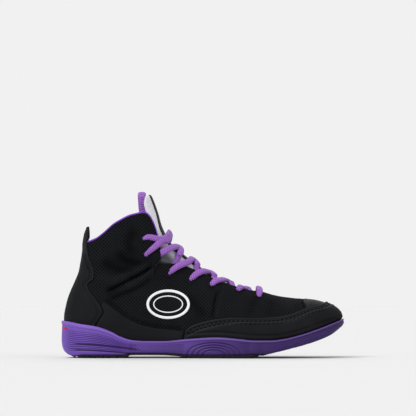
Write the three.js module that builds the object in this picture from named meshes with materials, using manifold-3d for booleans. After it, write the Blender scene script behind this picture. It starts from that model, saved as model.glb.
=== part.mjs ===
// Wrestling shoe for the right foot, standing empty on its sole. Millimetres.
// +X runs to the toe, +Y to the inner side of the foot, +Z up. The floor is z = 0 and x = 0 is mid length.
import * as THREE from "three";
import { mergeVertices } from "three/addons/utils/BufferGeometryUtils.js";
import Module from "manifold-3d";

const wasm = await Module();
wasm.setup();

// Sizes of the shoe
const LENGTH = 286; // sole, heel to toe
const BALL_WIDTH = 99; // sole, across the ball
const HEEL_WIDTH = 71; // sole, across the heel
const INSTEP_HEIGHT = 95; // floor to the top edge of the eyestay
const COLLAR_HEIGHT = 146.5; // floor to the front top of the collar
const HEEL_WALL = 37; // floor to the lip of the sole at the heel
const UPPER_WALL = 1.8; // mesh, foam and lining together
const OVERLAY = 1; // synthetic overlays
const GAP = 0.3; // between pieces that meet
const OUTSOLE = 3.2; // black rubber under the midsole
const INSOLE = 3.6;
const LACE_WIDTH = 6.8;
const LACE_DEPTH = 4.2;
const PIPING = 2.4; // diameter of the collar binding

// Shape constants
const HEEL_ROUND = 0.48 * HEEL_WIDTH; // how far the heel's round reaches forward
const TOE_ROUND = { outer: 0.6 * BALL_WIDTH, inner: 0.43 * BALL_WIDTH };
const TOP_ROUND = 0.47 * BALL_WIDTH; // depth of the round from the crest to the side
const ROUNDNESS = 2.15;
const TOE_END = 0.993; // share of the length that the last reaches
const TOE_DROP = 0.112 * LENGTH; // length of the toe's downward curve
const TOE_TUCK = 3.5; // how far the toe steps back behind the sole's lip
const SOLE_EDGE = 4.3; // sole wall outside the widest line of the last
const COLUMNS = 26; // grid columns from heel to toe on each side
const ROWS = 10;

// Half widths of the last about its axis, as shares of the local width, and the axis itself.
const LAST = [
  { along: 0, outer: 0.427, inner: 0.415, axis: 0 },
  { along: 0.12, outer: 0.434, inner: 0.422, axis: 0 },
  { along: 0.25, outer: 0.437, inner: 0.405, axis: 0 },
  { along: 0.35, outer: 0.448, inner: 0.368, axis: 0 },
  { along: 0.45, outer: 0.446, inner: 0.33, axis: 0.004 },
  { along: 0.55, outer: 0.448, inner: 0.34, axis: 0.012 },
  { along: 0.65, outer: 0.466, inner: 0.386, axis: 0.022 },
  { along: 0.73, outer: 0.475, inner: 0.419, axis: 0.03 },
  { along: 0.8, outer: 0.464, inner: 0.429, axis: 0.04 },
  { along: 0.88, outer: 0.43, inner: 0.412, axis: 0.053 },
  { along: 1, outer: 0.37, inner: 0.36, axis: 0.07 },
];

// Half widths round the ankle, as shares of the heel width. One step of up is the instep, two the collar.
const ANKLE = [
  { up: 0.42, outer: 0.437, inner: 0.42 },
  { up: 0.63, outer: 0.417, inner: 0.402 },
  { up: 0.8, outer: 0.405, inner: 0.398 },
  { up: 0.95, outer: 0.43, inner: 0.432 },
  { up: 1.14, outer: 0.472, inner: 0.475 },
  { up: 1.39, outer: 0.48, inner: 0.48 },
  { up: 1.68, outer: 0.467, inner: 0.467 },
  { up: 2, outer: 0.458, inner: 0.458 },
  { up: 2.4, outer: 0.452, inner: 0.452 },
];

// Line of the heel's back, from the seat to the heel tab's tip.
const BACK = [
  { up: 0.112, along: 0.0248 },
  { up: 0.24, along: 0.016 },
  { up: 0.422, along: 0.0126 },
  { up: 0.55, along: 0.0195 },
  { up: 0.635, along: 0.0268 },
  { up: 0.72, along: 0.0372 },
  { up: 0.806, along: 0.0496 },
  { up: 0.934, along: 0.0652 },
  { up: 1.114, along: 0.0727 },
  { up: 1.43, along: 0.0798 },
  { up: 1.745, along: 0.0904 },
];

// Crest of the foot, from above the tongue's tip down the instep and on past the toe.
const CREST = [
  { along: 0.298, up: 2.611 },
  { along: 0.319, up: 2.335 },
  { along: 0.344, up: 2 },
  { along: 0.37, up: 1.64 },
  { along: 0.388, up: 1.485 },
  { along: 0.404, up: 1.37 },
  { along: 0.429, up: 1.262 },
  { along: 0.468, up: 1.095 },
  { along: 0.5035, up: 0.977 },
  { along: 0.543, up: 0.897 },
  { along: 0.582, up: 0.838 },
  { along: 0.631, up: 0.785 },
  { along: 0.681, up: 0.737 },
  { along: 0.723, up: 0.689 },
  { along: 0.766, up: 0.659 },
  { along: 0.851, up: 0.628 },
  { along: 0.922, up: 0.611 },
  { along: 1, up: 0.592 },
  { along: 1.376, up: 0.486 },
  { along: 1.98, up: 0.294 },
  { along: 2.83, up: 0 },
];

// Edge of the opening: collar from the heel, down the ankle flap to the notch, along the eyestay.
const TOPLINE = [
  { along: 0.0798, up: 1.39 },
  { along: 0.108, up: 1.439 },
  { along: 0.128, up: 1.488 },
  { along: 0.156, up: 1.607 },
  { along: 0.184, up: 1.745 },
  { along: 0.213, up: 1.843 },
  { along: 0.241, up: 1.922 },
  { along: 0.262, up: 1.955 },
  { along: 0.284, up: 1.985 },
  { along: 0.299, up: 1.985 },
  { along: 0.313, up: 1.922 },
  { along: 0.326, up: 1.794 },
  { along: 0.337, up: 1.626 },
  { along: 0.347, up: 1.41 },
  { along: 0.353, up: 1.252 },
  { along: 0.351, up: 1.124 },
  { along: 0.338, up: 1.004 },
  { along: 0.365, up: 1.001 },
  { along: 0.4, up: 1.002 },
  { along: 0.4255, up: 0.993 },
  { along: 0.454, up: 0.961 },
  { along: 0.5, up: 0.902 },
  { along: 0.543, up: 0.838 },
  { along: 0.578, up: 0.802 },
  { along: 0.631, up: 0.75 },
  { along: 0.674, up: 0.72 },
  { along: 0.702, up: 0.713 },
];

// Run of the upper's columns: share along the opening, place at the seat, place halfway up.
const FAN = [
  { share: 0.09, seat: 0.087, along: 0.105, up: 0.674 },
  { share: 0.2, seat: 0.157, along: 0.168, up: 0.695 },
  { share: 0.292, seat: 0.213, along: 0.22, up: 0.716 },
  { share: 0.394, seat: 0.269, along: 0.266, up: 0.726 },
  { share: 0.5, seat: 0.332, along: 0.304, up: 0.716 },
  { share: 0.554, seat: 0.367, along: 0.329, up: 0.695 },
  { share: 0.606, seat: 0.409, along: 0.36, up: 0.674 },
  { share: 0.708, seat: 0.507, along: 0.437, up: 0.621 },
  { share: 0.8, seat: 0.612, along: 0.521, up: 0.558 },
  { share: 0.878, seat: 0.717, along: 0.612, up: 0.495 },
  { share: 0.939, seat: 0.822, along: 0.773, up: 0.474 },
  { share: 0.98, seat: 0.92, along: 0.846, up: 0.537 },
];

// Side lines of the sole, as shares of the heel wall: tread, seat of the foot and lip.
const SOLE = [
  { along: 0, tread: 0.257, seat: 0.324, lip: 1.014 },
  { along: 0.018, tread: 0.122, seat: 0.324, lip: 1 },
  { along: 0.04, tread: 0.032, seat: 0.324, lip: 0.976 },
  { along: 0.064, tread: 0, seat: 0.324, lip: 0.934 },
  { along: 0.128, tread: 0, seat: 0.324, lip: 0.849 },
  { along: 0.156, tread: 0, seat: 0.324, lip: 0.781 },
  { along: 0.184, tread: 0, seat: 0.322, lip: 0.689 },
  { along: 0.213, tread: 0, seat: 0.318, lip: 0.57 },
  { along: 0.255, tread: 0.043, seat: 0.31, lip: 0.478 },
  { along: 0.3, tread: 0.045, seat: 0.3, lip: 0.457 },
  { along: 0.36, tread: 0.043, seat: 0.288, lip: 0.457 },
  { along: 0.454, tread: 0, seat: 0.27, lip: 0.52 },
  { along: 0.55, tread: 0, seat: 0.257, lip: 0.562 },
  { along: 0.63, tread: 0, seat: 0.257, lip: 0.515 },
  { along: 0.68, tread: 0.03, seat: 0.277, lip: 0.478 },
  { along: 0.738, tread: 0.122, seat: 0.327, lip: 0.478 },
  { along: 0.78, tread: 0.2, seat: 0.378, lip: 0.514 },
  { along: 0.837, tread: 0.312, seat: 0.472, lip: 0.616 },
  { along: 0.894, tread: 0.44, seat: 0.595, lip: 0.757 },
  { along: 0.95, tread: 0.615, seat: 0.765, lip: 0.919 },
  { along: 1, tread: 0.892, seat: 0.946, lip: 1.068 },
];

// Profile of the sole's side wall from its foot to its lip.
const WALL_STEPS = [
  { level: 0, out: -1.6 },
  { level: 0.1, out: -0.3 },
  { level: 0.3, out: 0.3 },
  { level: 0.62, out: 0 },
  { level: 0.84, out: -0.25 },
  { level: 0.9, out: 0.35 },
  { level: 0.97, out: 0.3 },
  { level: 1, out: -0.3 },
];

// Front edge of the heel counter, from below the sole's lip to the tip of the heel tab.
const COUNTER = [
  { up: 0.2, along: 0.112 },
  { up: 0.352, along: 0.1206 },
  { up: 0.486, along: 0.1454 },
  { up: 0.774, along: 0.094 },
  { up: 0.849, along: 0.1165 },
  { up: 0.913, along: 0.117 },
  { up: 0.998, along: 0.1082 },
  { up: 1.193, along: 0.0966 },
  { up: 1.41, along: 0.0935 },
  { up: 1.636, along: 0.0935 },
  { up: 1.735, along: 0.092 },
];

// Top edge of the low side panels and of the toe rand.
const PANEL = [
  { along: 0.15, up: 0.6 },
  { along: 0.178, up: 0.539 },
  { along: 0.238, up: 0.411 },
  { along: 0.301, up: 0.336 },
  { along: 0.42, up: 0.29 },
];
const RAND = [
  { along: 0.428, up: 0.15 },
  { along: 0.436, up: 0.27 },
  { along: 0.457, up: 0.336 },
  { along: 0.4965, up: 0.379 },
  { along: 0.546, up: 0.411 },
  { along: 0.61, up: 0.427 },
  { along: 0.688, up: 0.422 },
  { along: 0.766, up: 0.432 },
  { along: 0.8014, up: 0.454 },
  { along: 0.8617, up: 0.518 },
  { along: 0.9415, up: 0.596 },
  { along: 0.951, up: 0.66 },
];

// Tongue down its middle line, from the tip to its foot under the throat: half width, middle depth and sink.
const TONGUE = [
  { share: 0, half: 17, depth: 3.4, sink: 3.2 },
  { share: 0.04, half: 23, depth: 5, sink: 3 },
  { share: 0.2, half: 26, depth: 5.2, sink: 3 },
  { share: 0.42, half: 28, depth: 5, sink: 3.2 },
  { share: 0.62, half: 26, depth: 4.6, sink: 3.6 },
  { share: 0.8, half: 24, depth: 4, sink: 4.2 },
  { share: 1, half: 20, depth: 3, sink: 4.6 },
];
const TONGUE_TIP = 0.3165;
const TONGUE_FOOT = 0.735;

// Lace crossings from the ankle down: the eyelet, where the strand lands, and its lift over the middle.
const LACING = [
  { along: 0.289, up: 1.488, to_along: 0.298, to_up: 1.164, lift: 2.1, lands: 2.6 },
  { along: 0.35, up: 1.2, to_along: 0.398, to_up: 1.04, lift: 2.2, lands: 0.6 },
  { along: 0.379, up: 0.891, to_along: 0.476, to_up: 0.965, lift: 1.8, lands: 0.6 },
  { along: 0.454, up: 0.827, to_along: 0.542, to_up: 0.868, lift: 1, lands: 0.2 },
  { along: 0.53, up: 0.774, to_along: 0.604, to_up: 0.8, lift: -0.8, lands: -1 },
  { along: 0.624, up: 0.7205, to_along: 0.664, to_up: 0.75, lift: -1.2, lands: -1.4 },
];

const COLOURS = {
  rubber: "#19191b",
  midsole: "#5f448d",
  footbed: "#26262a",
  mesh: "#17171a",
  synthetic: "#1d1e21",
  tongue: "#9d98a6",
  lace: "#8656a6",
  binding: "#6d3fa8",
};

const clamp = (t) => Math.min(1, Math.max(0, t));
const ease = (t) => clamp(t) ** 2 * (3 - 2 * clamp(t));
const mix = (a, b, t) => a + (b - a) * t;
const round = (t) => (1 - (1 - clamp(t)) ** ROUNDNESS) ** (1 / ROUNDNESS);
const xAt = (along) => (along - 0.5) * LENGTH;
const alongAt = (x) => x / LENGTH + 0.5;
const zAt = (up) =>
  up < 1 ? up * INSTEP_HEIGHT : mix(INSTEP_HEIGHT, COLLAR_HEIGHT, up - 1);
const upAt = (z) =>
  z < INSTEP_HEIGHT
    ? z / INSTEP_HEIGHT
    : 1 + (z - INSTEP_HEIGHT) / (COLLAR_HEIGHT - INSTEP_HEIGHT);

// One column of a table as a smooth line against another, which never overshoots a row.
function line(rows, key, value) {
  const x = rows.map((row) => row[key]);
  const y = rows.map((row) => row[value]);
  const last = x.length - 1;
  const rise = x.slice(1).map((_, i) => (y[i + 1] - y[i]) / (x[i + 1] - x[i]));
  const slope = x.map((_, i) => {
    if (i === 0) return rise[0];
    if (i === last) return rise[last - 1];
    if (rise[i - 1] * rise[i] <= 0) return 0;
    const before = x[i] - x[i - 1];
    const after = x[i + 1] - x[i];
    const whole = 3 * (before + after);
    return whole / ((2 * after + before) / rise[i - 1] + (after + 2 * before) / rise[i]);
  });
  return (at) => {
    if (at <= x[0]) return y[0] + slope[0] * (at - x[0]);
    if (at >= x[last]) return y[last] + slope[last] * (at - x[last]);
    let i = 0;
    while (at > x[i + 1]) i += 1;
    const wide = x[i + 1] - x[i];
    const t = (at - x[i]) / wide;
    const ends = mix(y[i], y[i + 1], t * t * (3 - 2 * t));
    return ends + wide * t * (1 - t) * ((1 - t) * slope[i] - t * slope[i + 1]);
  };
}

// A curve through side-view points, read by its share of length.
function trail(points) {
  const curve = new THREE.CatmullRomCurve3(
    points.map(([x, z]) => new THREE.Vector3(x, 0, z)),
    false,
    "centripetal",
  );
  curve.arcLengthDivisions = 600;
  return (share) => {
    const p = curve.getPointAt(clamp(share));
    return [p.x, p.z];
  };
}
const sidePoints = (rows) => rows.map((row) => [xAt(row.along), zAt(row.up)]);

const last = {
  outer: line(LAST, "along", "outer"),
  inner: line(LAST, "along", "inner"),
  axis: line(LAST, "along", "axis"),
};
const ankle = { outer: line(ANKLE, "up", "outer"), inner: line(ANKLE, "up", "inner") };
const soleLine = {
  tread: line(SOLE, "along", "tread"),
  seat: line(SOLE, "along", "seat"),
  lip: line(SOLE, "along", "lip"),
};
const backLine = line(BACK, "up", "along");
const crestUp = line(CREST, "along", "up");
const crestAlong = line([...CREST].reverse(), "up", "along");

const axis = (x) => last.axis(alongAt(x)) * BALL_WIDTH;
const soleZ = (name, x) => soleLine[name](clamp(alongAt(x))) * HEEL_WALL;
const heelBack = (z) => xAt(backLine(upAt(z)));
const lipAtToe = SOLE.at(-1).lip * HEEL_WALL;
const toeFront = (z) => xAt(TOE_END) - TOE_TUCK * (1 - ease((z - lipAtToe + 5) / 10));
const instepX = (z) => xAt(crestAlong(upAt(z)));

// Top of the last over x. Near the toe it turns down to the height where the toe reaches furthest.
function topZ(x) {
  const crest = zAt(crestUp(alongAt(x)));
  const nose = lipAtToe + 1;
  const t = clamp((xAt(TOE_END) - x) / TOE_DROP);
  return nose + (crest - nose) * Math.sqrt(1 - (1 - t) ** 2);
}

// Half width before the crest's round: foot below, ankle above, with the heel's and the toe's rounds.
function bodyWidth(x, z, side) {
  const along = alongAt(x);
  const local = mix(HEEL_WIDTH, BALL_WIDTH, ease((along - 0.3) / 0.35));
  const foot = last[side](along) * local;
  const leg = ankle[side](upAt(z)) * HEEL_WIDTH;
  const share = ease((upAt(z) - 0.3) / 0.45) * (1 - ease((along - 0.36) / 0.24));
  const tuck = 1 - 0.09 * (1 - clamp((z - soleZ("seat", x)) / 13)) ** 2;
  const heel = round((x - heelBack(z)) / HEEL_ROUND);
  const toe = round((toeFront(z) - x) / TOE_ROUND[side]);
  return mix(foot, leg, share) * tuck * heel * toe;
}

function crestRound(x) {
  const high = topZ(x) - soleZ("seat", x);
  return (high * TOP_ROUND) / (high ** 4 + TOP_ROUND ** 4) ** 0.25;
}

// Half width of the last at a point of its side view.
function halfWidth(x, z, side) {
  const below = Math.max(0, topZ(x) - z);
  const behind = Math.max(0, instepX(z) - x);
  const deep = (below * behind) / (Math.hypot(below, behind) || 1);
  return bodyWidth(x, z, side) * round(deep / crestRound(x));
}

const signOf = { outer: -1, inner: 1 };
function onLast(x, z, side) {
  return new THREE.Vector3(x, axis(x) + signOf[side] * halfWidth(x, z, side), z);
}

// Side-view map of the upper: u from the heel's back to the toe and crest, v from the seat to the opening.
const openingEdge = trail(sidePoints(TOPLINE));
const throatFront = sidePoints(TOPLINE).at(-1);
const seatHeel = heelBack(HEEL_WALL * SOLE[0].seat);
const seatToe = toeFront(0);
const collarBack = openingEdge(0);
const heelEdge = trail(
  [0, 0.15, 0.3, 0.45, 0.6, 0.75, 0.9, 1].map((t) => {
    const z = mix(soleZ("seat", seatHeel), collarBack[1], t);
    return [heelBack(z), z];
  }),
);
const toeEdge = trail([
  ...[0, 0.5, 1].map((t) => {
    const z = mix(soleZ("seat", seatToe), lipAtToe - 1, t);
    return [toeFront(z), z];
  }),
  ...[0.02, 0.1, 0.22, 0.38, 0.6, 0.85].map((t) => {
    const x = xAt(TOE_END) - TOE_DROP * t;
    return [x, topZ(x)];
  }),
  ...[0.15, 0.35, 0.55, 0.78, 1].map((t) => {
    const x = mix(xAt(TOE_END) - TOE_DROP, throatFront[0], t);
    return [x, topZ(x)];
  }),
]);
const spread = (s) => mix(s, (1 - Math.cos(Math.PI * s)) / 2, 0.88);
const HALFWAY = 0.5;
const [midHeel, midToe] = [heelEdge(HALFWAY), toeEdge(HALFWAY)];
const fan = [
  { share: 0, seat: alongAt(seatHeel), along: alongAt(midHeel[0]), up: upAt(midHeel[1]) },
  ...FAN,
  { share: 1, seat: alongAt(seatToe), along: alongAt(midToe[0]), up: upAt(midToe[1]) },
];
const fanSeat = line(fan, "share", "seat");
const fanAlong = line(fan, "share", "along");
const fanUp = line(fan, "share", "up");
function seatEdge(u) {
  const x = xAt(fanSeat(u));
  return [x, soleZ("seat", x)];
}
const middleEdge = (u) => [xAt(fanAlong(u)), zAt(fanUp(u))];
function sideMap(u, v) {
  const [below, above] = v < HALFWAY ? [seatEdge, middleEdge] : [middleEdge, openingEdge];
  const t = v < HALFWAY ? v / HALFWAY : (v - HALFWAY) / (1 - HALFWAY);
  const [back, front] = [heelEdge(v), toeEdge(v)];
  return [0, 1].map((k) => {
    const heel = mix(below(0)[k], above(0)[k], t);
    const toe = mix(below(1)[k], above(1)[k], t);
    return mix(below(u)[k], above(u)[k], t) + mix(back[k] - heel, front[k] - toe, u);
  });
}

// Grids of points: grid[row][column]. A ring grid closes round the foot.
function upperGrid() {
  const grid = [];
  for (let row = 0; row <= ROWS; row += 1) {
    const ring = [];
    for (let i = 0; i < 2 * COLUMNS; i += 1) {
      const side = i <= COLUMNS ? "outer" : "inner";
      const u = spread((i <= COLUMNS ? i : 2 * COLUMNS - i) / COLUMNS);
      const [x, z] = sideMap(u, row / ROWS);
      const point = onLast(x, z, side);
      if (i % COLUMNS === 0) point.y = axis(x);
      ring.push(point);
    }
    grid.push(ring);
  }
  return grid;
}

function normalsOf(grid, ring) {
  const wide = grid[0].length;
  return grid.map((points, row) =>
    points.map((_, i) => {
      const next = ring ? (i + 1) % wide : Math.min(i + 1, wide - 1);
      const before = ring ? (i - 1 + wide) % wide : Math.max(i - 1, 0);
      const up = grid[Math.min(row + 1, grid.length - 1)][i];
      const down = grid[Math.max(row - 1, 0)][i];
      const across = points[next].clone().sub(points[before]);
      return across.cross(up.clone().sub(down)).normalize();
    }),
  );
}

function pushed(grid, normals, by) {
  return grid.map((points, row) =>
    points.map((point, i) => {
      const far = typeof by === "function" ? by(row, i, point) : by;
      return point.clone().addScaledVector(normals[row][i], far);
    }),
  );
}

// Solids
function closed(points, triangles) {
  return new wasm.Manifold(
    new wasm.Mesh({
      numProp: 3,
      vertProperties: new Float32Array(points.flatMap((p) => [p.x, p.y, p.z])),
      triVerts: new Uint32Array(triangles.flat()),
    }),
  );
}

// The body between a sheet and the sheet behind it.
function thick(front, behind, ring) {
  const high = front.length;
  const wide = front[0].length;
  const at = (layer, row, i) => (layer * high + row) * wide + (i % wide);
  const faces = [];
  const quad = (a, b, c, d) => faces.push([a, b, c], [a, c, d]);
  const spans = ring ? wide : wide - 1;
  for (let row = 0; row < high - 1; row += 1) {
    for (let i = 0; i < spans; i += 1) {
      quad(at(0, row, i), at(0, row, i + 1), at(0, row + 1, i + 1), at(0, row + 1, i));
      quad(at(1, row, i), at(1, row + 1, i), at(1, row + 1, i + 1), at(1, row, i + 1));
    }
    if (ring) continue;
    quad(at(1, row, 0), at(0, row, 0), at(0, row + 1, 0), at(1, row + 1, 0));
    quad(at(0, row, spans), at(1, row, spans), at(1, row + 1, spans), at(0, row + 1, spans));
  }
  const top = high - 1;
  for (let i = 0; i < spans; i += 1) {
    quad(at(1, 0, i), at(1, 0, i + 1), at(0, 0, i + 1), at(0, 0, i));
    quad(at(0, top, i), at(0, top, i + 1), at(1, top, i + 1), at(1, top, i));
  }
  return closed([...front.flat(), ...behind.flat()], faces);
}

// The body inside a ring grid, closed straight across at the bottom and the top.
function filled(grid) {
  const high = grid.length;
  const wide = grid[0].length;
  const at = (row, i) => row * wide + (i % wide);
  const faces = [];
  const quad = (a, b, c, d) => faces.push([a, b, c], [a, c, d]);
  for (let row = 0; row < high - 1; row += 1) {
    for (let i = 0; i < wide; i += 1) {
      quad(at(row, i), at(row, i + 1), at(row + 1, i + 1), at(row + 1, i));
    }
  }
  const top = high - 1;
  const half = wide / 2;
  faces.push([at(0, 0), at(0, wide - 1), at(0, 1)]);
  faces.push([at(top, 0), at(top, 1), at(top, wide - 1)]);
  for (let i = 1; i < half - 1; i += 1) {
    quad(at(0, i), at(0, wide - i), at(0, wide - i - 1), at(0, i + 1));
    quad(at(top, i), at(top, i + 1), at(top, wide - i - 1), at(top, wide - i));
  }
  faces.push([at(0, half - 1), at(0, half + 1), at(0, half)]);
  faces.push([at(top, half - 1), at(top, half), at(top, half + 1)]);
  return closed(grid.flat(), faces);
}

// A bar swept along a path: centre, direction across and direction out at each station.
function swept(stations, wide, deep, sides = 6) {
  const rings = stations.map(({ at, across, out }) =>
    Array.from({ length: sides }, (_, k) => {
      const angle = (2 * Math.PI * (sides === 4 ? k + 0.5 : k)) / sides;
      return at
        .clone()
        .addScaledVector(across, (Math.cos(angle) * wide) / 2)
        .addScaledVector(out, (Math.sin(angle) * deep) / 2);
    }),
  );
  const faces = [];
  rings.slice(1).forEach((_, row) => {
    for (let k = 0; k < sides; k += 1) {
      const [a, b] = [row * sides + k, row * sides + ((k + 1) % sides)];
      faces.push([a, a + sides, b + sides], [a, b + sides, b]);
    }
  });
  const end = (rings.length - 1) * sides;
  for (let k = 1; k < sides - 1; k += 1) {
    faces.push([0, k, k + 1], [end, end + k + 1, end + k]);
  }
  const made = closed(rings.flat(), faces);
  return made.volume() < 0 ? closed(rings.flat(), faces.map(([a, b, c]) => [a, c, b])) : made;
}

function solidOf(geometry) {
  geometry.deleteAttribute("normal");
  geometry.deleteAttribute("uv");
  const merged = mergeVertices(geometry, 1e-4);
  return new wasm.Manifold(
    new wasm.Mesh({
      numProp: 3,
      vertProperties: merged.attributes.position.array,
      triVerts: new Uint32Array(merged.index.array),
    }),
  );
}

// A side-view outline run across the shoe from one y to another.
function prism(points, from, to) {
  const shape = new THREE.Shape(points.map(([x, z]) => new THREE.Vector2(x, z)));
  const body = new THREE.ExtrudeGeometry(shape, { depth: to - from, bevelEnabled: false });
  return solidOf(body.rotateX(Math.PI / 2).translate(0, to, 0));
}

const minus = (body, ...tools) => tools.reduce((made, tool) => made.subtract(tool), body);
const largest = (body) =>
  body.decompose().reduce((best, part) => (part.volume() > best.volume() ? part : best));
const plus = (first, ...others) => others.reduce((made, other) => made.add(other), first);

// Upper and the larger forms round it
const skin = upperGrid();
const skinNormals = normalsOf(skin, true);
const skinAt = (by) => pushed(skin, skinNormals, by);
function lastBody(by, drop) {
  const grid = skinAt(by);
  grid[0].forEach((point) => {
    point.z -= drop;
  });
  return filled(grid);
}
const upper = thick(skin, skinAt(-UPPER_WALL), true);
// The upper grown by a gap all round, also past its top edge
function upperRoom(grow) {
  const rise = skin[ROWS].map((p, i) => p.clone().sub(skin[ROWS - 1][i]).setLength(grow));
  return thick(
    ...[grow, -UPPER_WALL - grow].map((by) => {
      const grid = skinAt(by);
      grid[ROWS].forEach((p, i) => p.add(rise[i]));
      return grid;
    }),
    true,
  );
}
const overlayLayer = thick(skinAt(GAP + OVERLAY), skinAt(GAP), true);
const upperBody = lastBody(GAP, 0);
const cupHollow = lastBody(2 * GAP + OVERLAY, GAP);

// Sole outline: the widest low line of the last with its outward direction, as a ring.
function soleRing() {
  const low = (x) => soleZ("seat", x) + 14;
  const points = [];
  for (let i = 0; i < 2 * COLUMNS; i += 1) {
    const side = i <= COLUMNS ? "outer" : "inner";
    const u = spread((i <= COLUMNS ? i : 2 * COLUMNS - i) / COLUMNS);
    const heel = heelBack(low(seatHeel));
    const x = mix(heel, seatToe, u);
    const foot = bodyWidth(x, low(x), side) / round((toeFront(low(x)) - x) / TOE_ROUND[side]);
    const toe = round((seatToe - x) / TOE_ROUND[side]);
    points.push(new THREE.Vector2(x, axis(x) + signOf[side] * foot * toe));
  }
  return points.map((point, i) => {
    const next = points[(i + 1) % points.length];
    const before = points[(i - 1 + points.length) % points.length];
    const run = next.clone().sub(before).normalize();
    return { x: point.x, y: point.y, outX: run.y, outY: -run.x };
  });
}
const outline = soleRing();
const toeShare = (x) => ease((alongAt(x) - 0.67) / 0.07);
const edgeAt = (x) => SOLE_EDGE + 1.2 * ease((alongAt(x) - 0.8) / 0.2);
const footOfMidsole = (x) => soleZ("tread", x) + mix(OUTSOLE + GAP, 0.4, toeShare(x));
function soleRow(out, height) {
  return outline.map(({ x, y, outX, outY }) => {
    const far = out(x);
    const px = x + outX * far;
    return new THREE.Vector3(px, y + outY * far, height(px));
  });
}
const midsoleRows = WALL_STEPS.map(({ level, out }) =>
  soleRow(
    (x) => edgeAt(x) + out,
    (x) => mix(footOfMidsole(x), soleZ("lip", x), level),
  ),
);
function treadBody(grow, low, high) {
  const out = (x) => mix(SOLE_EDGE - 1.1, -5, toeShare(x)) + grow;
  return filled([
    soleRow((x) => out(x) - 0.8, (x) => soleZ("tread", x) + low),
    soleRow(out, (x) => soleZ("tread", x) + mix(low, high, 0.5)),
    soleRow(out, (x) => soleZ("tread", x) + high),
  ]);
}

// A groove along a side-view path in one side of the sole wall.
function groove(side, path, wide, deep) {
  const half = outline.length / 2;
  const ring = outline.slice(0, half + 1);
  const mirror = [outline[0], ...outline.slice(half).reverse()];
  const edge = side === "outer" ? ring : mirror;
  const stations = path.map(([x, z], k) => {
    let i = 0;
    while (i < edge.length - 2 && x > edge[i + 1].x + edge[i + 1].outX * SOLE_EDGE) i += 1;
    const ends = [edge[i], edge[i + 1]].map((p) => {
      const far = edgeAt(p.x);
      return [p.x + p.outX * far, p.y + p.outY * far, p.outX, p.outY];
    });
    const t = clamp((x - ends[0][0]) / (ends[1][0] - ends[0][0] || 1));
    const [px, py, outX, outY] = ends[0].map((value, n) => mix(value, ends[1][n], t));
    const [a, b] = [path[Math.max(k - 1, 0)], path[Math.min(k + 1, path.length - 1)]];
    const run = new THREE.Vector3(b[0] - a[0], 0, b[1] - a[1]);
    const out = new THREE.Vector3(outX, outY, 0).normalize();
    const across = out.clone().cross(run).normalize();
    return { at: new THREE.Vector3(px, py, z), across, out };
  });
  return swept(stations, wide, 2 * deep, 4);
}

const steps = (from, to, count) =>
  Array.from({ length: count + 1 }, (_, k) => mix(from, to, k / count));
const RIBS = 4;
const RIB_PITCH = 3.6;
function sideGrooves(side) {
  const ribs = steps(0, RIBS - 1, RIBS - 1).map((k) => {
    const z = 0.31 * HEEL_WALL + k * RIB_PITCH;
    const front = mix(0.225, 0.15, k / RIBS);
    return groove(side, steps(0.028, front, 6).map((along) => [xAt(along), z]), 1.5, 1);
  });
  const sweep = groove(
    side,
    steps(0.05, 0.26, 8).map((along) => {
      const t = (along - 0.05) / 0.21;
      return [xAt(along), HEEL_WALL * mix(0.33, 0.15, t ** 1.8)];
    }),
    2,
    1.3,
  );
  const arcs = [0.036, 0.066].map((radius) =>
    groove(
      side,
      steps(0.1, 0.9, 6).map((t) => {
        const angle = Math.PI * t;
        const high = footOfMidsole(xAt(0.535)) - 1;
        return [xAt(0.535 - radius * Math.cos(angle)), high + 0.5 * radius * LENGTH * Math.sin(angle)];
      }),
      1.6,
      1,
    ),
  );
  return [...ribs, sweep, ...arcs];
}

const midsole = minus(
  filled(midsoleRows),
  cupHollow,
  treadBody(GAP, -1, OUTSOLE + GAP),
  ...sideGrooves("outer"),
  ...sideGrooves("inner"),
);

// Tread: bars across the forefoot and the heel and a round pad under the ball.
function planBody(points, low, high) {
  const shape = new THREE.Shape(points.map(([x, y]) => new THREE.Vector2(x, y)));
  const body = new THREE.ExtrudeGeometry(shape, { depth: high - low, bevelEnabled: false });
  return solidOf(body.translate(0, 0, low));
}
const LUG = 1.5;
const CHANNELS = [
  { along: 0.055, lean: 0 },
  { along: 0.105, lean: 0 },
  { along: 0.155, lean: 0 },
  { along: 0.205, lean: 0 },
  { along: 0.45, lean: 0.012 },
  { along: 0.69, lean: -0.015 },
  { along: 0.745, lean: -0.02 },
  { along: 0.8, lean: -0.025 },
  { along: 0.855, lean: -0.03 },
  { along: 0.905, lean: -0.035 },
];
function channel({ along, lean }) {
  const half = 1.7;
  const side = 0.6 * BALL_WIDTH;
  const [a, b] = [xAt(along - lean), xAt(along + lean)];
  return planBody([[a - half, -side], [a + half, -side], [b + half, side], [b - half, side]], -5, 60);
}
function ringChannel(radius) {
  const at = [xAt(0.572), 0.03 * BALL_WIDTH];
  const circle = (r) => steps(0, 17, 17).map((k) => {
    const angle = (k * Math.PI) / 9;
    return [at[0] + r * Math.cos(angle), at[1] + r * Math.sin(angle)];
  });
  return minus(planBody(circle(radius + 1.5), -5, 60), planBody(circle(radius - 1.5), -6, 61));
}
const lugLayer = filled([
  soleRow(() => 9, (x) => soleZ("tread", x) - 3),
  soleRow(() => 9, (x) => soleZ("tread", x) + LUG),
]);
const arch = planBody(
  [[xAt(0.235), -80], [xAt(0.42), -80], [xAt(0.42), 80], [xAt(0.235), 80]],
  -5,
  60,
);
const channels = plus(...CHANNELS.map(channel), ringChannel(14), ringChannel(27), arch);
const outsole = minus(treadBody(0, 0, OUTSOLE), lugLayer.intersect(channels));

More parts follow.
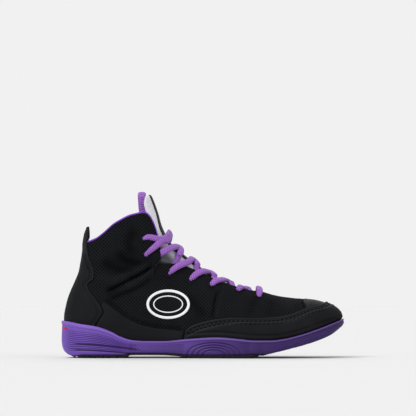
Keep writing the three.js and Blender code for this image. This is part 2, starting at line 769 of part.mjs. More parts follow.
// Insole, cut from the inside of the upper.
const insoleStrip = steps(seatHeel - 5, seatToe + 5, 28);
const insole = lastBody(-UPPER_WALL - 2 * GAP, 1).intersect(
  prism(
    [
      ...insoleStrip.map((x) => [x, soleZ("seat", x) - 0.3]),
      ...[...insoleStrip].reverse().map((x) => [x, soleZ("seat", x) + INSOLE]),
    ],
    -80,
    80,
  ),
);

// Heel counter with the free tab above the collar.
const counterLine = line(COUNTER, "up", "along");
const counterRows = COUNTER.flatMap(({ up }, k) =>
  k < COUNTER.length - 1 && COUNTER[k + 1].up - up > 0.25 ? [up, (up + COUNTER[k + 1].up) / 2] : [up],
);
const counterSheet = counterRows.map((up) => {
  const z = zAt(up);
  return steps(5, -5, 10).map((k) => {
    const reach = 1 - Math.cos((Math.PI / 2) * (Math.abs(k) / 5));
    const x = mix(heelBack(z), xAt(counterLine(up)), reach);
    const point = onLast(x, z, k > 0 ? "inner" : "outer");
    if (k === 0) point.y = axis(x);
    return point;
  });
});
const counterNormals = normalsOf(counterSheet, false);
const tabShare = (point) => ease((point.z - collarBack[1] + 8) / 8);
const heelCounter = minus(
  thick(
    pushed(counterSheet, counterNormals, (row, i, point) =>
      mix(GAP + OVERLAY, 3.2, tabShare(point)),
    ),
    pushed(counterSheet, counterNormals, (row, i, point) => mix(-0.4, 0.9, tabShare(point))),
    false,
  ),
  upperBody,
  minus(filled(midsoleRows), lastBody(GAP + OVERLAY, 0)),
);

// Overlays cut from the layer over the upper
const under = (rows) => [
  ...sidePoints(rows),
  [sidePoints(rows).at(-1)[0], 0],
  [sidePoints(rows)[0][0], 0],
];
const counterCut = prism(
  [
    ...COUNTER.slice(0, 5).map(({ up, along }) => [xAt(along) + GAP, zAt(up)]),
    [xAt(-0.1), zAt(0.9)],
    [xAt(-0.1), 0],
  ],
  -80,
  80,
);
const randShape = [...sidePoints(RAND), [xAt(1.05), zAt(0.66)], [xAt(1.05), 0], [xAt(0.428), 0]];
const toeRand = overlayLayer.intersect(prism(randShape, -80, 80));
const panelCut = minus(prism(under(PANEL), -80, 80), counterCut);
const randGap = prism(randShape.map(([x, z]) => [x - 1, z + 0.5]), -80, 80);
const panels = minus(overlayLayer.intersect(panelCut), randGap);
const sideOf = (body, from, to) =>
  body.intersect(prism([[-150, 0], [150, 0], [150, 200], [-150, 200]], from, to));

// Tongue
const tongueLine = {
  half: line(TONGUE, "share", "half"),
  depth: line(TONGUE, "share", "depth"),
  sink: line(TONGUE, "share", "sink"),
};
const crestTrail = trail(
  [0, 0.03, 0.06, 0.1, 0.15, 0.2, 0.26, 0.32, 0.4, 0.48, 0.56, 0.65, 0.74, 0.83, 0.92, 1].map((t) => {
    const x = xAt(mix(TONGUE_TIP, TONGUE_FOOT, t));
    return [x, topZ(x)];
  }),
);
// A point of the last, found from the crest: share down the crest and distance y from the axis.
function fromCrest(share, y) {
  const [x, z] = crestTrail(share);
  const [ax, az] = crestTrail(share - 0.01);
  const [bx, bz] = crestTrail(share + 0.01);
  const run = Math.hypot(bx - ax, bz - az);
  const [downX, downZ] = [(bz - az) / run, -(bx - ax) / run];
  const side = y < 0 ? "outer" : "inner";
  let [deep, far] = [0, 1.3 * TOP_ROUND];
  for (let k = 0; k < 18; k += 1) {
    const half = (deep + far) / 2;
    if (halfWidth(x + half * downX, z + half * downZ, side) < Math.abs(y)) deep = half;
    else far = half;
  }
  return new THREE.Vector3(x + deep * downX, axis(x) + y, z + deep * downZ);
}
const tongueRows = [...steps(0, 0.12, 3), ...steps(0.2, 1, 13)].reverse();
const tongueColumns = steps(-1, 1, 10);
const tongueSheet = tongueRows.map((share) =>
  tongueColumns.map((w) => fromCrest(share, w * tongueLine.half(share))),
);
const tongueNormals = normalsOf(tongueSheet, false);
function tongueBody(grow) {
  return thick(
    pushed(tongueSheet, tongueNormals, (row) => grow - tongueLine.sink(tongueRows[row])),
    pushed(tongueSheet, tongueNormals, (row, i) => {
      const share = tongueRows[row];
      const edge = Math.abs(tongueColumns[i]) ** 3;
      return -grow - tongueLine.sink(share) - mix(tongueLine.depth(share), 1.4, edge);
    }),
    false,
  );
}
const tongue = largest(minus(tongueBody(0), upperRoom(0.2)));

// Laces
function crestPlace(along, up) {
  const [x, z] = [xAt(along), zAt(up)];
  const y = halfWidth(x, z, "outer");
  const far = (share) => {
    const p = fromCrest(share, -y);
    return Math.hypot(p.x - x, p.z - z);
  };
  const best = steps(0, 1, 200).reduce((a, b) => (far(b) < far(a) ? b : a));
  return { share: best, y };
}
function strand(from, to, lift, lands, mirrored) {
  const sign = mirrored ? -1 : 1;
  const count = 7;
  const points = steps(0, 1, count).map((t) => {
    const share = mix(from.share, to.share, t);
    const y = mix(-from.y, to.y, t);
    const [at, a, b, c] = [
      fromCrest(share, sign * y),
      fromCrest(share + 0.004, sign * y),
      fromCrest(share, sign * y + 0.5),
      fromCrest(share, sign * y - 0.5),
    ];
    const out = b.sub(c).cross(a.sub(at)).normalize();
    if (out.z < 0) out.negate();
    const over = t < 0.5 ? mix(2.6, lift, ease(t * 2)) : mix(lift, lands, ease(t * 2 - 1));
    return { at: at.clone().addScaledVector(out, over), out };
  });
  const stations = points.map(({ at, out }, k) => {
    const run = points[Math.min(k + 1, count)].at.clone().sub(points[Math.max(k - 1, 0)].at);
    const across = run.clone().cross(out).normalize();
    return { at, across, out: across.clone().cross(run).normalize() };
  });
  return swept(stations, LACE_WIDTH, LACE_DEPTH);
}

// Collar binding: piping along the opening from one flap, round the heel, to the other flap.
const rim = { front: skin[ROWS], behind: skinAt(-UPPER_WALL)[ROWS] };
const bindingEnd = skin[ROWS].findIndex((p) => p.z < zAt(1.36) && p.x > xAt(0.3)) - 1;
const bindingStations = steps(-bindingEnd, bindingEnd, 2 * bindingEnd).map((k) => {
  const i = (k + 2 * COLUMNS) % (2 * COLUMNS);
  const below = skin[ROWS - 1][i];
  const out = skin[ROWS][i].clone().sub(below).normalize();
  const middle = rim.front[i].clone().add(rim.behind[i]).multiplyScalar(0.5);
  const across = rim.front[i].clone().sub(rim.behind[i]).normalize();
  return { at: middle.addScaledVector(out, PIPING / 2 + GAP), across, out };
});
const binding = largest(minus(swept(bindingStations, PIPING, PIPING, 6), upperRoom(GAP)));

// Room the laces keep clear: the upper, the tongue and the binding, each a gap larger
const laceRoom = [
  upperRoom(GAP + 0.1),
  tongueBody(GAP + 0.1),
  swept(bindingStations, PIPING + 3 * GAP, PIPING + 3 * GAP, 6),
];
const crossings = LACING.map((row) => {
  const from = crestPlace(row.along, row.up);
  const to = crestPlace(row.to_along, row.to_up);
  to.y *= 0.75;
  const strands = [false, true].map((turned) => strand(from, to, row.lift, row.lands, turned));
  return largest(minus(plus(...strands), ...laceRoom));
});
const lowBar = crestPlace(0.6965, 0.655);
crossings.push(largest(minus(strand(lowBar, lowBar, 2.4, 2.7, false), ...laceRoom)));

// Pull loop standing behind the tongue
const loopLine = trail(
  [[0.316, 1.45], [0.297, 1.75], [0.284, 2.02], [0.281, 2.25]].map(([along, up]) => [xAt(along), zAt(up)]),
);
const LOOP_HALF = 5;
const loopPath = [
  ...steps(0, 1, 6).map((t) => [...loopLine(t), -LOOP_HALF]),
  ...steps(0.2, 0.8, 4).map((t) => {
    const [x, z] = loopLine(1);
    return [x, z + 0.9 * LOOP_HALF * Math.sin(Math.PI * t), -LOOP_HALF * Math.cos(Math.PI * t)];
  }),
  ...steps(1, 0, 6).map((t) => [...loopLine(t), LOOP_HALF]),
].map(([x, z, y]) => new THREE.Vector3(x, y, z));
const loopStations = loopPath.map((at, k) => {
  const run = loopPath[Math.min(k + 1, loopPath.length - 1)]
    .clone()
    .sub(loopPath[Math.max(k - 1, 0)]);
  const across = new THREE.Vector3(1, 0, 0);
  const out = across.clone().cross(run).normalize();
  return { at, across: run.clone().cross(out).normalize(), out };
});
const pullLoop = swept(loopStations, LACE_WIDTH, LACE_DEPTH);

// Assembly
function material(colour, roughness) {
  return new THREE.MeshStandardMaterial({ color: colour, roughness, metalness: 0 });
}
function piece(name, body, colour, roughness) {
  const { numProp, vertProperties, triVerts } = body.simplify(0.03).getMesh();
  const positions = new Float32Array((vertProperties.length / numProp) * 3);
  for (let i = 0; i < positions.length / 3; i += 1) {
    positions.set(vertProperties.subarray(i * numProp, i * numProp + 3), i * 3);
  }
  const geometry = new THREE.BufferGeometry();
  geometry.setAttribute("position", new THREE.BufferAttribute(positions, 3));
  geometry.setIndex(new THREE.BufferAttribute(new Uint32Array(triVerts), 1));
  geometry.computeVertexNormals();
  const mesh = new THREE.Mesh(geometry, material(colour, roughness));
  mesh.name = name;
  return mesh;
}
function group(name, ...children) {
  const made = new THREE.Group();
  made.name = name;
  made.add(...children);
  return made;
}

const shoe = group(
  "wrestling_shoe",
  group(
    "bottom",
    piece("outsole", outsole, COLOURS.rubber, 0.75),
    piece("midsole", midsole, COLOURS.midsole, 0.55),
    piece("insole", insole, COLOURS.footbed, 0.9),
  ),
  group(
    "bootie",
    piece("upper", upper, COLOURS.mesh, 0.9),
    piece("heel_counter", heelCounter, COLOURS.synthetic, 0.6),
    piece("side_panel_lateral", sideOf(panels, -80, 0), COLOURS.synthetic, 0.6),
    piece("side_panel_medial", sideOf(panels, 0, 80), COLOURS.synthetic, 0.6),
    piece("toe_rand", toeRand, COLOURS.synthetic, 0.6),
    piece("collar_binding", binding, COLOURS.binding, 0.6),
  ),
  group(
    "closure",
    piece("tongue", tongue, COLOURS.tongue, 0.9),
    piece("pull_loop", pullLoop, COLOURS.lace, 0.8),
    ...crossings.map((body, i) => piece(`lace_${i + 1}`, body, COLOURS.lace, 0.8)),
  ),
);

export default shoe;
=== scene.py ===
"""Wrestling shoe for the right foot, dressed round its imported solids."""
import math

import bmesh
import bpy
import numpy as np
from bpy.props import FloatProperty, PointerProperty, StringProperty
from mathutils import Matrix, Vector


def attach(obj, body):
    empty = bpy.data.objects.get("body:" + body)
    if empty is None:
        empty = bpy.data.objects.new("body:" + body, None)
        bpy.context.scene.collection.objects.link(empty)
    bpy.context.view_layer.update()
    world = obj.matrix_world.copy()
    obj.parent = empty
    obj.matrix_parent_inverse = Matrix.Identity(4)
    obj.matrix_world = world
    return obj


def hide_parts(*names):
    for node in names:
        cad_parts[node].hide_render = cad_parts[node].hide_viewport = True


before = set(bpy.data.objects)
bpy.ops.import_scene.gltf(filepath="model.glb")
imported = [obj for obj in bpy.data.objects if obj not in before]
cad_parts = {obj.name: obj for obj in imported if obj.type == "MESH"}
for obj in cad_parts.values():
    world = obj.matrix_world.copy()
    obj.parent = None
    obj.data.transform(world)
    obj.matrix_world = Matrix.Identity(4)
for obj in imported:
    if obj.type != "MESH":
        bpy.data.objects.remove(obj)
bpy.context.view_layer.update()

bl_info = {
    "name": "Wrestling Shoe",
    "version": (1, 0, 0),
    "blender": (4, 5, 0),
    "location": "3D View > Sidebar > Shoe",
    "description": "Builds a laced wrestling shoe with a cupped sole on its packed frame",
    "category": "Object",
}

# One pixel of the photo at the shoe, in metres, its width, and its rows of the floor and of the small bar.
PIXEL, PICTURE, FLOOR_ROW, BAR_ROW = 0.001014, 416, 357.5, 328
# The camera: its distance, height and place along the shoe, and the height in the middle of the picture.
CAMERA_AWAY, CAMERA_HEIGHT, CAMERA_ALONG, PICTURE_MIDDLE = 3.2, 0.07, 0.0051, 0.1516


def table(columns, *rows):
    """Rows of numbers as one array for each named column."""
    return {name: np.array(values, float) for name, values in zip(columns.split(), zip(*rows))}


# Half widths of the last about its axis, as shares of the local width, and the axis itself.
LAST = table(
    "along outer inner axis",
    (0, 0.427, 0.415, 0), (0.12, 0.434, 0.422, 0), (0.25, 0.437, 0.405, 0), (0.35, 0.448, 0.368, 0),
    (0.45, 0.446, 0.33, 0.004), (0.55, 0.448, 0.34, 0.012), (0.65, 0.466, 0.386, 0.022),
    (0.73, 0.475, 0.419, 0.03), (0.8, 0.464, 0.429, 0.04), (0.88, 0.43, 0.412, 0.053), (1, 0.37, 0.36, 0.07),
)
# Half widths round the ankle, as shares of the heel width. One step of up is the instep, two the collar.
ANKLE = table(
    "up outer inner",
    (0.42, 0.437, 0.42), (0.63, 0.417, 0.402), (0.8, 0.405, 0.398), (0.95, 0.43, 0.432), (1.14, 0.472, 0.475),
    (1.39, 0.48, 0.48), (1.68, 0.467, 0.467), (2, 0.458, 0.458), (2.4, 0.452, 0.452),
)
# Line of the heel's back, from the seat to the heel tab's tip.
BACK = table(
    "up along",
    (0.112, 0.0248), (0.24, 0.016), (0.422, 0.0126), (0.55, 0.0195), (0.635, 0.0268), (0.72, 0.0372),
    (0.806, 0.0496), (0.934, 0.0652), (1.114, 0.0727), (1.43, 0.0798), (1.745, 0.0904),
)
# Crest of the foot, from above the tongue's tip down the instep and on past the toe.
CREST = table(
    "along up",
    (0.298, 2.611), (0.319, 2.335), (0.344, 2), (0.37, 1.64), (0.388, 1.485), (0.404, 1.37), (0.429, 1.262),
    (0.468, 1.095), (0.5035, 0.977), (0.543, 0.897), (0.582, 0.838), (0.631, 0.785), (0.681, 0.737),
    (0.723, 0.689), (0.766, 0.659), (0.851, 0.628), (0.922, 0.611), (1, 0.592), (1.376, 0.486), (1.98, 0.294),
    (2.83, 0),
)
# Edge of the opening: collar from the heel, down the ankle flap to the notch, along the eyestay.
TOPLINE = table(
    "along up",
    (0.0798, 1.39), (0.108, 1.439), (0.128, 1.488), (0.156, 1.607), (0.184, 1.745), (0.213, 1.843),
    (0.241, 1.922), (0.262, 1.955), (0.284, 1.985), (0.299, 1.985), (0.313, 1.922), (0.326, 1.794),
    (0.337, 1.626), (0.347, 1.41), (0.353, 1.252), (0.351, 1.124), (0.338, 1.004), (0.365, 1.001),
    (0.4, 1.002), (0.4255, 0.993), (0.454, 0.961), (0.5, 0.902), (0.543, 0.838), (0.578, 0.802),
    (0.631, 0.75), (0.674, 0.72), (0.702, 0.713),
)
# Edge of the notch in the side view, and the place its gusset runs towards.
GUSSET_EDGE = [
    (0.3535, 1.3), (0.353, 1.2), (0.351, 1.124), (0.345, 1.04), (0.34, 1.004), (0.365, 1.0), (0.395, 1.0),
]
GUSSET_HUB = (0.378, 1.1)
# Run of the upper's columns: share along the opening, place at the seat, place halfway up.
FAN = [
    (0.09, 0.087, 0.105, 0.674), (0.2, 0.157, 0.168, 0.695), (0.292, 0.213, 0.22, 0.716),
    (0.394, 0.269, 0.262, 0.726), (0.5, 0.332, 0.288, 0.716), (0.537, 0.352, 0.301, 0.708),
    (0.556, 0.367, 0.328, 0.695), (0.606, 0.409, 0.36, 0.674), (0.708, 0.507, 0.437, 0.621),
    (0.8, 0.612, 0.521, 0.558),
    (0.878, 0.717, 0.612, 0.495), (0.939, 0.822, 0.773, 0.474), (0.98, 0.92, 0.846, 0.537),
]
# Side lines of the sole, as shares of the heel wall: tread, seat of the foot and lip.
SOLE = table(
    "along tread seat lip",
    (0, 0.257, 0.324, 1.014), (0.018, 0.122, 0.324, 1), (0.04, 0.032, 0.324, 0.976), (0.064, 0, 0.324, 0.934),
    (0.128, 0, 0.324, 0.849), (0.156, 0, 0.324, 0.781), (0.184, 0, 0.322, 0.689), (0.213, 0, 0.318, 0.57),
    (0.255, 0.043, 0.31, 0.478), (0.3, 0.045, 0.3, 0.457), (0.36, 0.043, 0.288, 0.457), (0.454, 0, 0.27, 0.52),
    (0.55, 0, 0.257, 0.562), (0.63, 0, 0.257, 0.515), (0.68, 0.03, 0.277, 0.478), (0.738, 0.122, 0.327, 0.478),
    (0.78, 0.2, 0.378, 0.514), (0.837, 0.312, 0.472, 0.616), (0.894, 0.44, 0.595, 0.757),
    (0.95, 0.615, 0.765, 0.919), (1, 0.892, 0.946, 1.068),
)
# Profile of the sole's side wall from its foot to its lip, out in millimetres.
WALL = table(
    "level out",
    (0, -1.6), (0.04, -0.9), (0.1, -0.3), (0.3, 0.3), (0.62, 0), (0.84, -0.25), (0.9, 0.3),
    (0.96, 0.35), (1, -0.1),
)
# Front edge of the heel counter, from below the sole's lip to the tip of the heel tab.
COUNTER = table(
    "up along",
    (0.2, 0.112), (0.352, 0.1206), (0.486, 0.1454), (0.774, 0.094), (0.849, 0.1165), (0.913, 0.117),
    (0.998, 0.1082), (1.193, 0.0966), (1.41, 0.0935), (1.636, 0.0935), (1.735, 0.092),
)
# Top edges of the low side panels and of the toe rand.
PANEL = table("along up", (0.15, 0.6), (0.178, 0.539), (0.238, 0.411), (0.301, 0.336), (0.42, 0.29))
RAND = table(
    "along up",
    (0.428, 0.15), (0.436, 0.27), (0.457, 0.336), (0.4965, 0.379), (0.546, 0.411), (0.61, 0.427),
    (0.688, 0.422), (0.766, 0.432), (0.8014, 0.454), (0.8617, 0.518), (0.9415, 0.596), (0.951, 0.66),
)
# Tongue down its middle line: half width, middle depth and sink under the crest, in millimetres.
TONGUE = table(
    "share half depth sink",
    (0, 16, 3.2, 0.6), (0.04, 20.5, 5, 0.6), (0.12, 22.5, 5.4, 1.2), (0.22, 29, 5.4, 2.6),
    (0.42, 31.5, 5, 3.1), (0.62, 26, 4.6, 3.6), (0.8, 24, 4, 4.2), (1, 20, 3, 4.6),
)
# Ends of the tongue along the shoe, and the share of its half width that its dark middle takes.
TONGUE_TIP, TONGUE_FOOT, TONGUE_MIDDLE = 0.3165, 0.735, 0.42
# One leg of the pull loop in the side view, and half the distance between its two legs in millimetres.
LOOP_LEG = [(0.318, 1.45), (0.301, 1.75), (0.288, 2.02), (0.2835, 2.29)]
LOOP_HALF = 5.0
# Eyelets of one side from the ankle down.
EYELETS = [
    (0.289, 1.488), (0.298, 1.164), (0.379, 0.891), (0.454, 0.827), (0.53, 0.774), (0.624, 0.7205),
    (0.6965, 0.655),
]
# Lace crossings: where each leaves a side, where it lands on the other, its lift over the middle and
# at landing, and how far it droops down the crest on its way.
LACING = [
    (0.289, 1.488, 0.298, 1.164, 1.9, 2.6, 0.056), (0.35, 1.2, 0.398, 1.04, 1.6, 0.6, 0),
    (0.379, 0.891, 0.476, 0.965, -1.3, -0.6, 0.022), (0.454, 0.827, 0.542, 0.868, -0.9, -0.8, 0.008),
    (0.53, 0.774, 0.604, 0.8, -1.5, -1.4, 0.006), (0.624, 0.7205, 0.664, 0.75, -1.7, -1.8, 0),
]
# Height, width and depth of the lace in a hole, where it slips under the flap, where it ends under the upper,
# and on its hidden runs. Heights are in millimetres over the last, the others are shares of the full size.
IN_HOLE, UNDER_FLAP = (-1.6, 0.6, 0.75), (-2.2, 0.9, 0.4)
UNDER_END, HIDDEN = (-2.6, 0.8, 0.3), (-2.55, 0.85, 0.3)
# Height and width beside a hole, and the height on the surface.
BY_HOLE, ON_TOP = (0.7, 0.86), 2.4
# Soft creases of the upper in its side view: points, width and depth in millimetres. Depth below 0 is a ridge.
CREASES = [
    ([(0.327, 0.972), (0.28, 0.885), (0.22, 0.795), (0.16, 0.7)], 2.4, 1.5),
    ([(0.332, 0.93), (0.285, 0.835), (0.235, 0.76)], 4.5, -0.9),
    ([(0.3, 0.985), (0.25, 0.905), (0.19, 0.83)], 4, -0.7),
    ([(0.32, 0.86), (0.27, 0.75), (0.2, 0.66), (0.17, 0.62)], 3.5, 0.7),
    ([(0.2, 1.2), (0.235, 1.05), (0.29, 0.98)], 6, 0.7),
    ([(0.15, 1.0), (0.21, 0.93), (0.26, 0.92)], 6, 0.6),
    ([(0.13, 0.86), (0.18, 0.82), (0.235, 0.83)], 5, -0.5),
    ([(0.255, 1.62), (0.24, 1.4), (0.25, 1.2)], 7, 0.6),
    ([(0.69, 0.66), (0.672, 0.56), (0.665, 0.47)], 5, 0.35),
    ([(0.745, 0.62), (0.735, 0.54), (0.73, 0.46)], 6, 0.25),
    ([(0.80, 0.61), (0.80, 0.55)], 6, -0.4),
    ([(0.44, 0.66), (0.475, 0.56), (0.5, 0.46)], 6, 0.5),
]
# Seams sewn into the upper, in its side view.
VAMP_SEAM = [(0.555, 0.73), (0.546, 0.656), (0.5376, 0.539), (0.53, 0.425)]
TOE_SEAM = [(0.853, 0.62), (0.8533, 0.592), (0.857, 0.539)]
# Columns of the sole on each side.
SOLE_COLUMNS = 330
# Bars across the tread, each with its lean towards the toe on the inner side, and its rings in millimetres.
TREAD_BARS = [
    (0.055, 0), (0.105, 0), (0.155, 0), (0.205, 0), (0.45, 0.012), (0.69, -0.015), (0.745, -0.02),
    (0.8, -0.025), (0.855, -0.03), (0.905, -0.035),
]
TREAD_RINGS = (14, 27)
# Grooves that sweep down the heel's side: start and drop, as shares of the heel wall.
SWEEPS = [(0.38, 0.17), (0.22, 0.13)]
# Hatched patches of the sole's side: start, end and the level of the top.
HATCHES = [(0.235, 0.44, 0.66), (0.62, 0.672, 0.72), (0.683, 0.72, 0.72)]
# Middle of the printed oval, and its two bands: half length, half height and width in millimetres.
OVAL_MIDDLE = (0.378, 0.57)
OVAL_BANDS = {"print_outer": (20.5, 13.5, 2.6), "print_inner": (14.5, 8.2, 1.1)}
# Ends of the small bar from the heel's back, in millimetres.
BAR_START, BAR_END = 1.5, 9.5
# Turned profile of an eyelet ring, as radius and height in millimetres.
EYELET_PROFILE = [
    (0, 0.05), (1.9, 0.05), (2.3, 0.3), (2.75, 0.7), (3.3, 0.75), (3.8, 0.35), (3.9, -0.4), (0, -0.4),
]


def mix(a, b, t):
    """The value a share t of the way from a to b."""
    return a + (b - a) * t


def ease(t):
    """A step from 0 to 1 with soft ends."""
    t = np.clip(t, 0, 1)
    return t * t * (3 - 2 * t)


def rounding(t):
    """A rise from 0 to 1 as full as an oval's end."""
    return (1 - (1 - np.clip(t, 0, 1)) ** 2.15) ** (1 / 2.15)


def swell(value, middle, width):
    """1 at the middle, falling softly to 0 past the width."""
    return np.exp(-(((value - middle) / width) ** 2))


def band(value, start, rise, end, fall):
    """1 from start to end, with soft ends."""
    return ease((value - start) / rise) * (1 - ease((value - end) / fall))


def unit(vectors):
    """Vectors brought to a length of 1."""
    return vectors / np.maximum(np.linalg.norm(vectors, axis=-1, keepdims=True), 1e-9)


def bunched(share, amount=0.88):
    """Shares drawn closer together towards both ends."""
    return mix(share, (1 - np.cos(np.pi * share)) / 2, amount)


def there_and_back(count, more=0):
    """Sides and shares of columns that run along the outer side to the toe, then back on the inner."""
    i = np.arange(2 * count + more)
    return np.where(i <= count, -1, 1), np.where(i <= count, i, 2 * count - i) / count


def line(rows, key, value):
    """One column of a table as a smooth line against another, which never overshoots a row."""
    x, y = rows[key], rows[value]
    if x[0] > x[-1]:
        x, y = x[::-1], y[::-1]
    wide = np.diff(x)
    rise = np.diff(y) / wide
    slope = np.zeros_like(y)
    slope[0], slope[-1] = rise[0], rise[-1]
    for i in range(1, len(x) - 1):
        if rise[i - 1] * rise[i] > 0:
            before, after = wide[i - 1], wide[i]
            slope[i] = 3 * (before + after) / (
                (2 * after + before) / rise[i - 1] + (after + 2 * before) / rise[i]
            )

    def at(value):
        value = np.asarray(value, float)
        i = np.clip(np.searchsorted(x, value) - 1, 0, len(x) - 2)
        t = (value - x[i]) / wide[i]
        bend = wide[i] * t * (1 - t) * ((1 - t) * slope[i] - t * slope[i + 1])
        inside = mix(y[i], y[i + 1], t * t * (3 - 2 * t)) + bend
        low = y[0] + slope[0] * (value - x[0])
        high = y[-1] + slope[-1] * (value - x[-1])
        return np.where(value < x[0], low, np.where(value > x[-1], high, inside))

    return at


def trail(points, steps=48):
    """A smooth curve through points, read by its share of length."""
    p = np.asarray(points, float)
    p = np.vstack([2 * p[0] - p[1], p, 2 * p[-1] - p[-2]])
    drawn = []
    t = np.linspace(0, 1, steps, endpoint=False)[:, None]
    for a, b, c, d in zip(p, p[1:], p[2:], p[3:]):
        d0, d1, d2 = (max(np.linalg.norm(n - m), 1e-6) ** 0.5 for m, n in ((a, b), (b, c), (c, d)))
        m1 = ((b - a) / d0 - (c - a) / (d0 + d1) + (c - b) / d1) * d1
        m2 = ((c - b) / d1 - (d - b) / (d1 + d2) + (d - c) / d2) * d1
        drawn.append(b + m1 * t + (3 * (c - b) - 2 * m1 - m2) * t**2 + (2 * (b - c) + m1 + m2) * t**3)
    drawn = np.vstack(drawn + [p[-2:-1]])
    far = np.concatenate([[0], np.cumsum(np.linalg.norm(np.diff(drawn, axis=0), axis=1))])

    def at(share):
        s = np.clip(np.asarray(share, float), 0, 1) * far[-1]
        return np.stack([np.interp(s, far, drawn[:, k]) for k in range(drawn.shape[1])], -1)

    at.length = far[-1]
    at.stops = far[::steps] / far[-1]
    return at


def beside(points, away):
    """A side-view path moved sideways in millimetres, to the right of its run."""
    path = trail(points)
    at = path(np.linspace(0, 1, 200))
    run = unit(np.gradient(at, axis=0))
    return trail(at + away * np.stack([run[:, 1], -run[:, 0]], -1), steps=2)


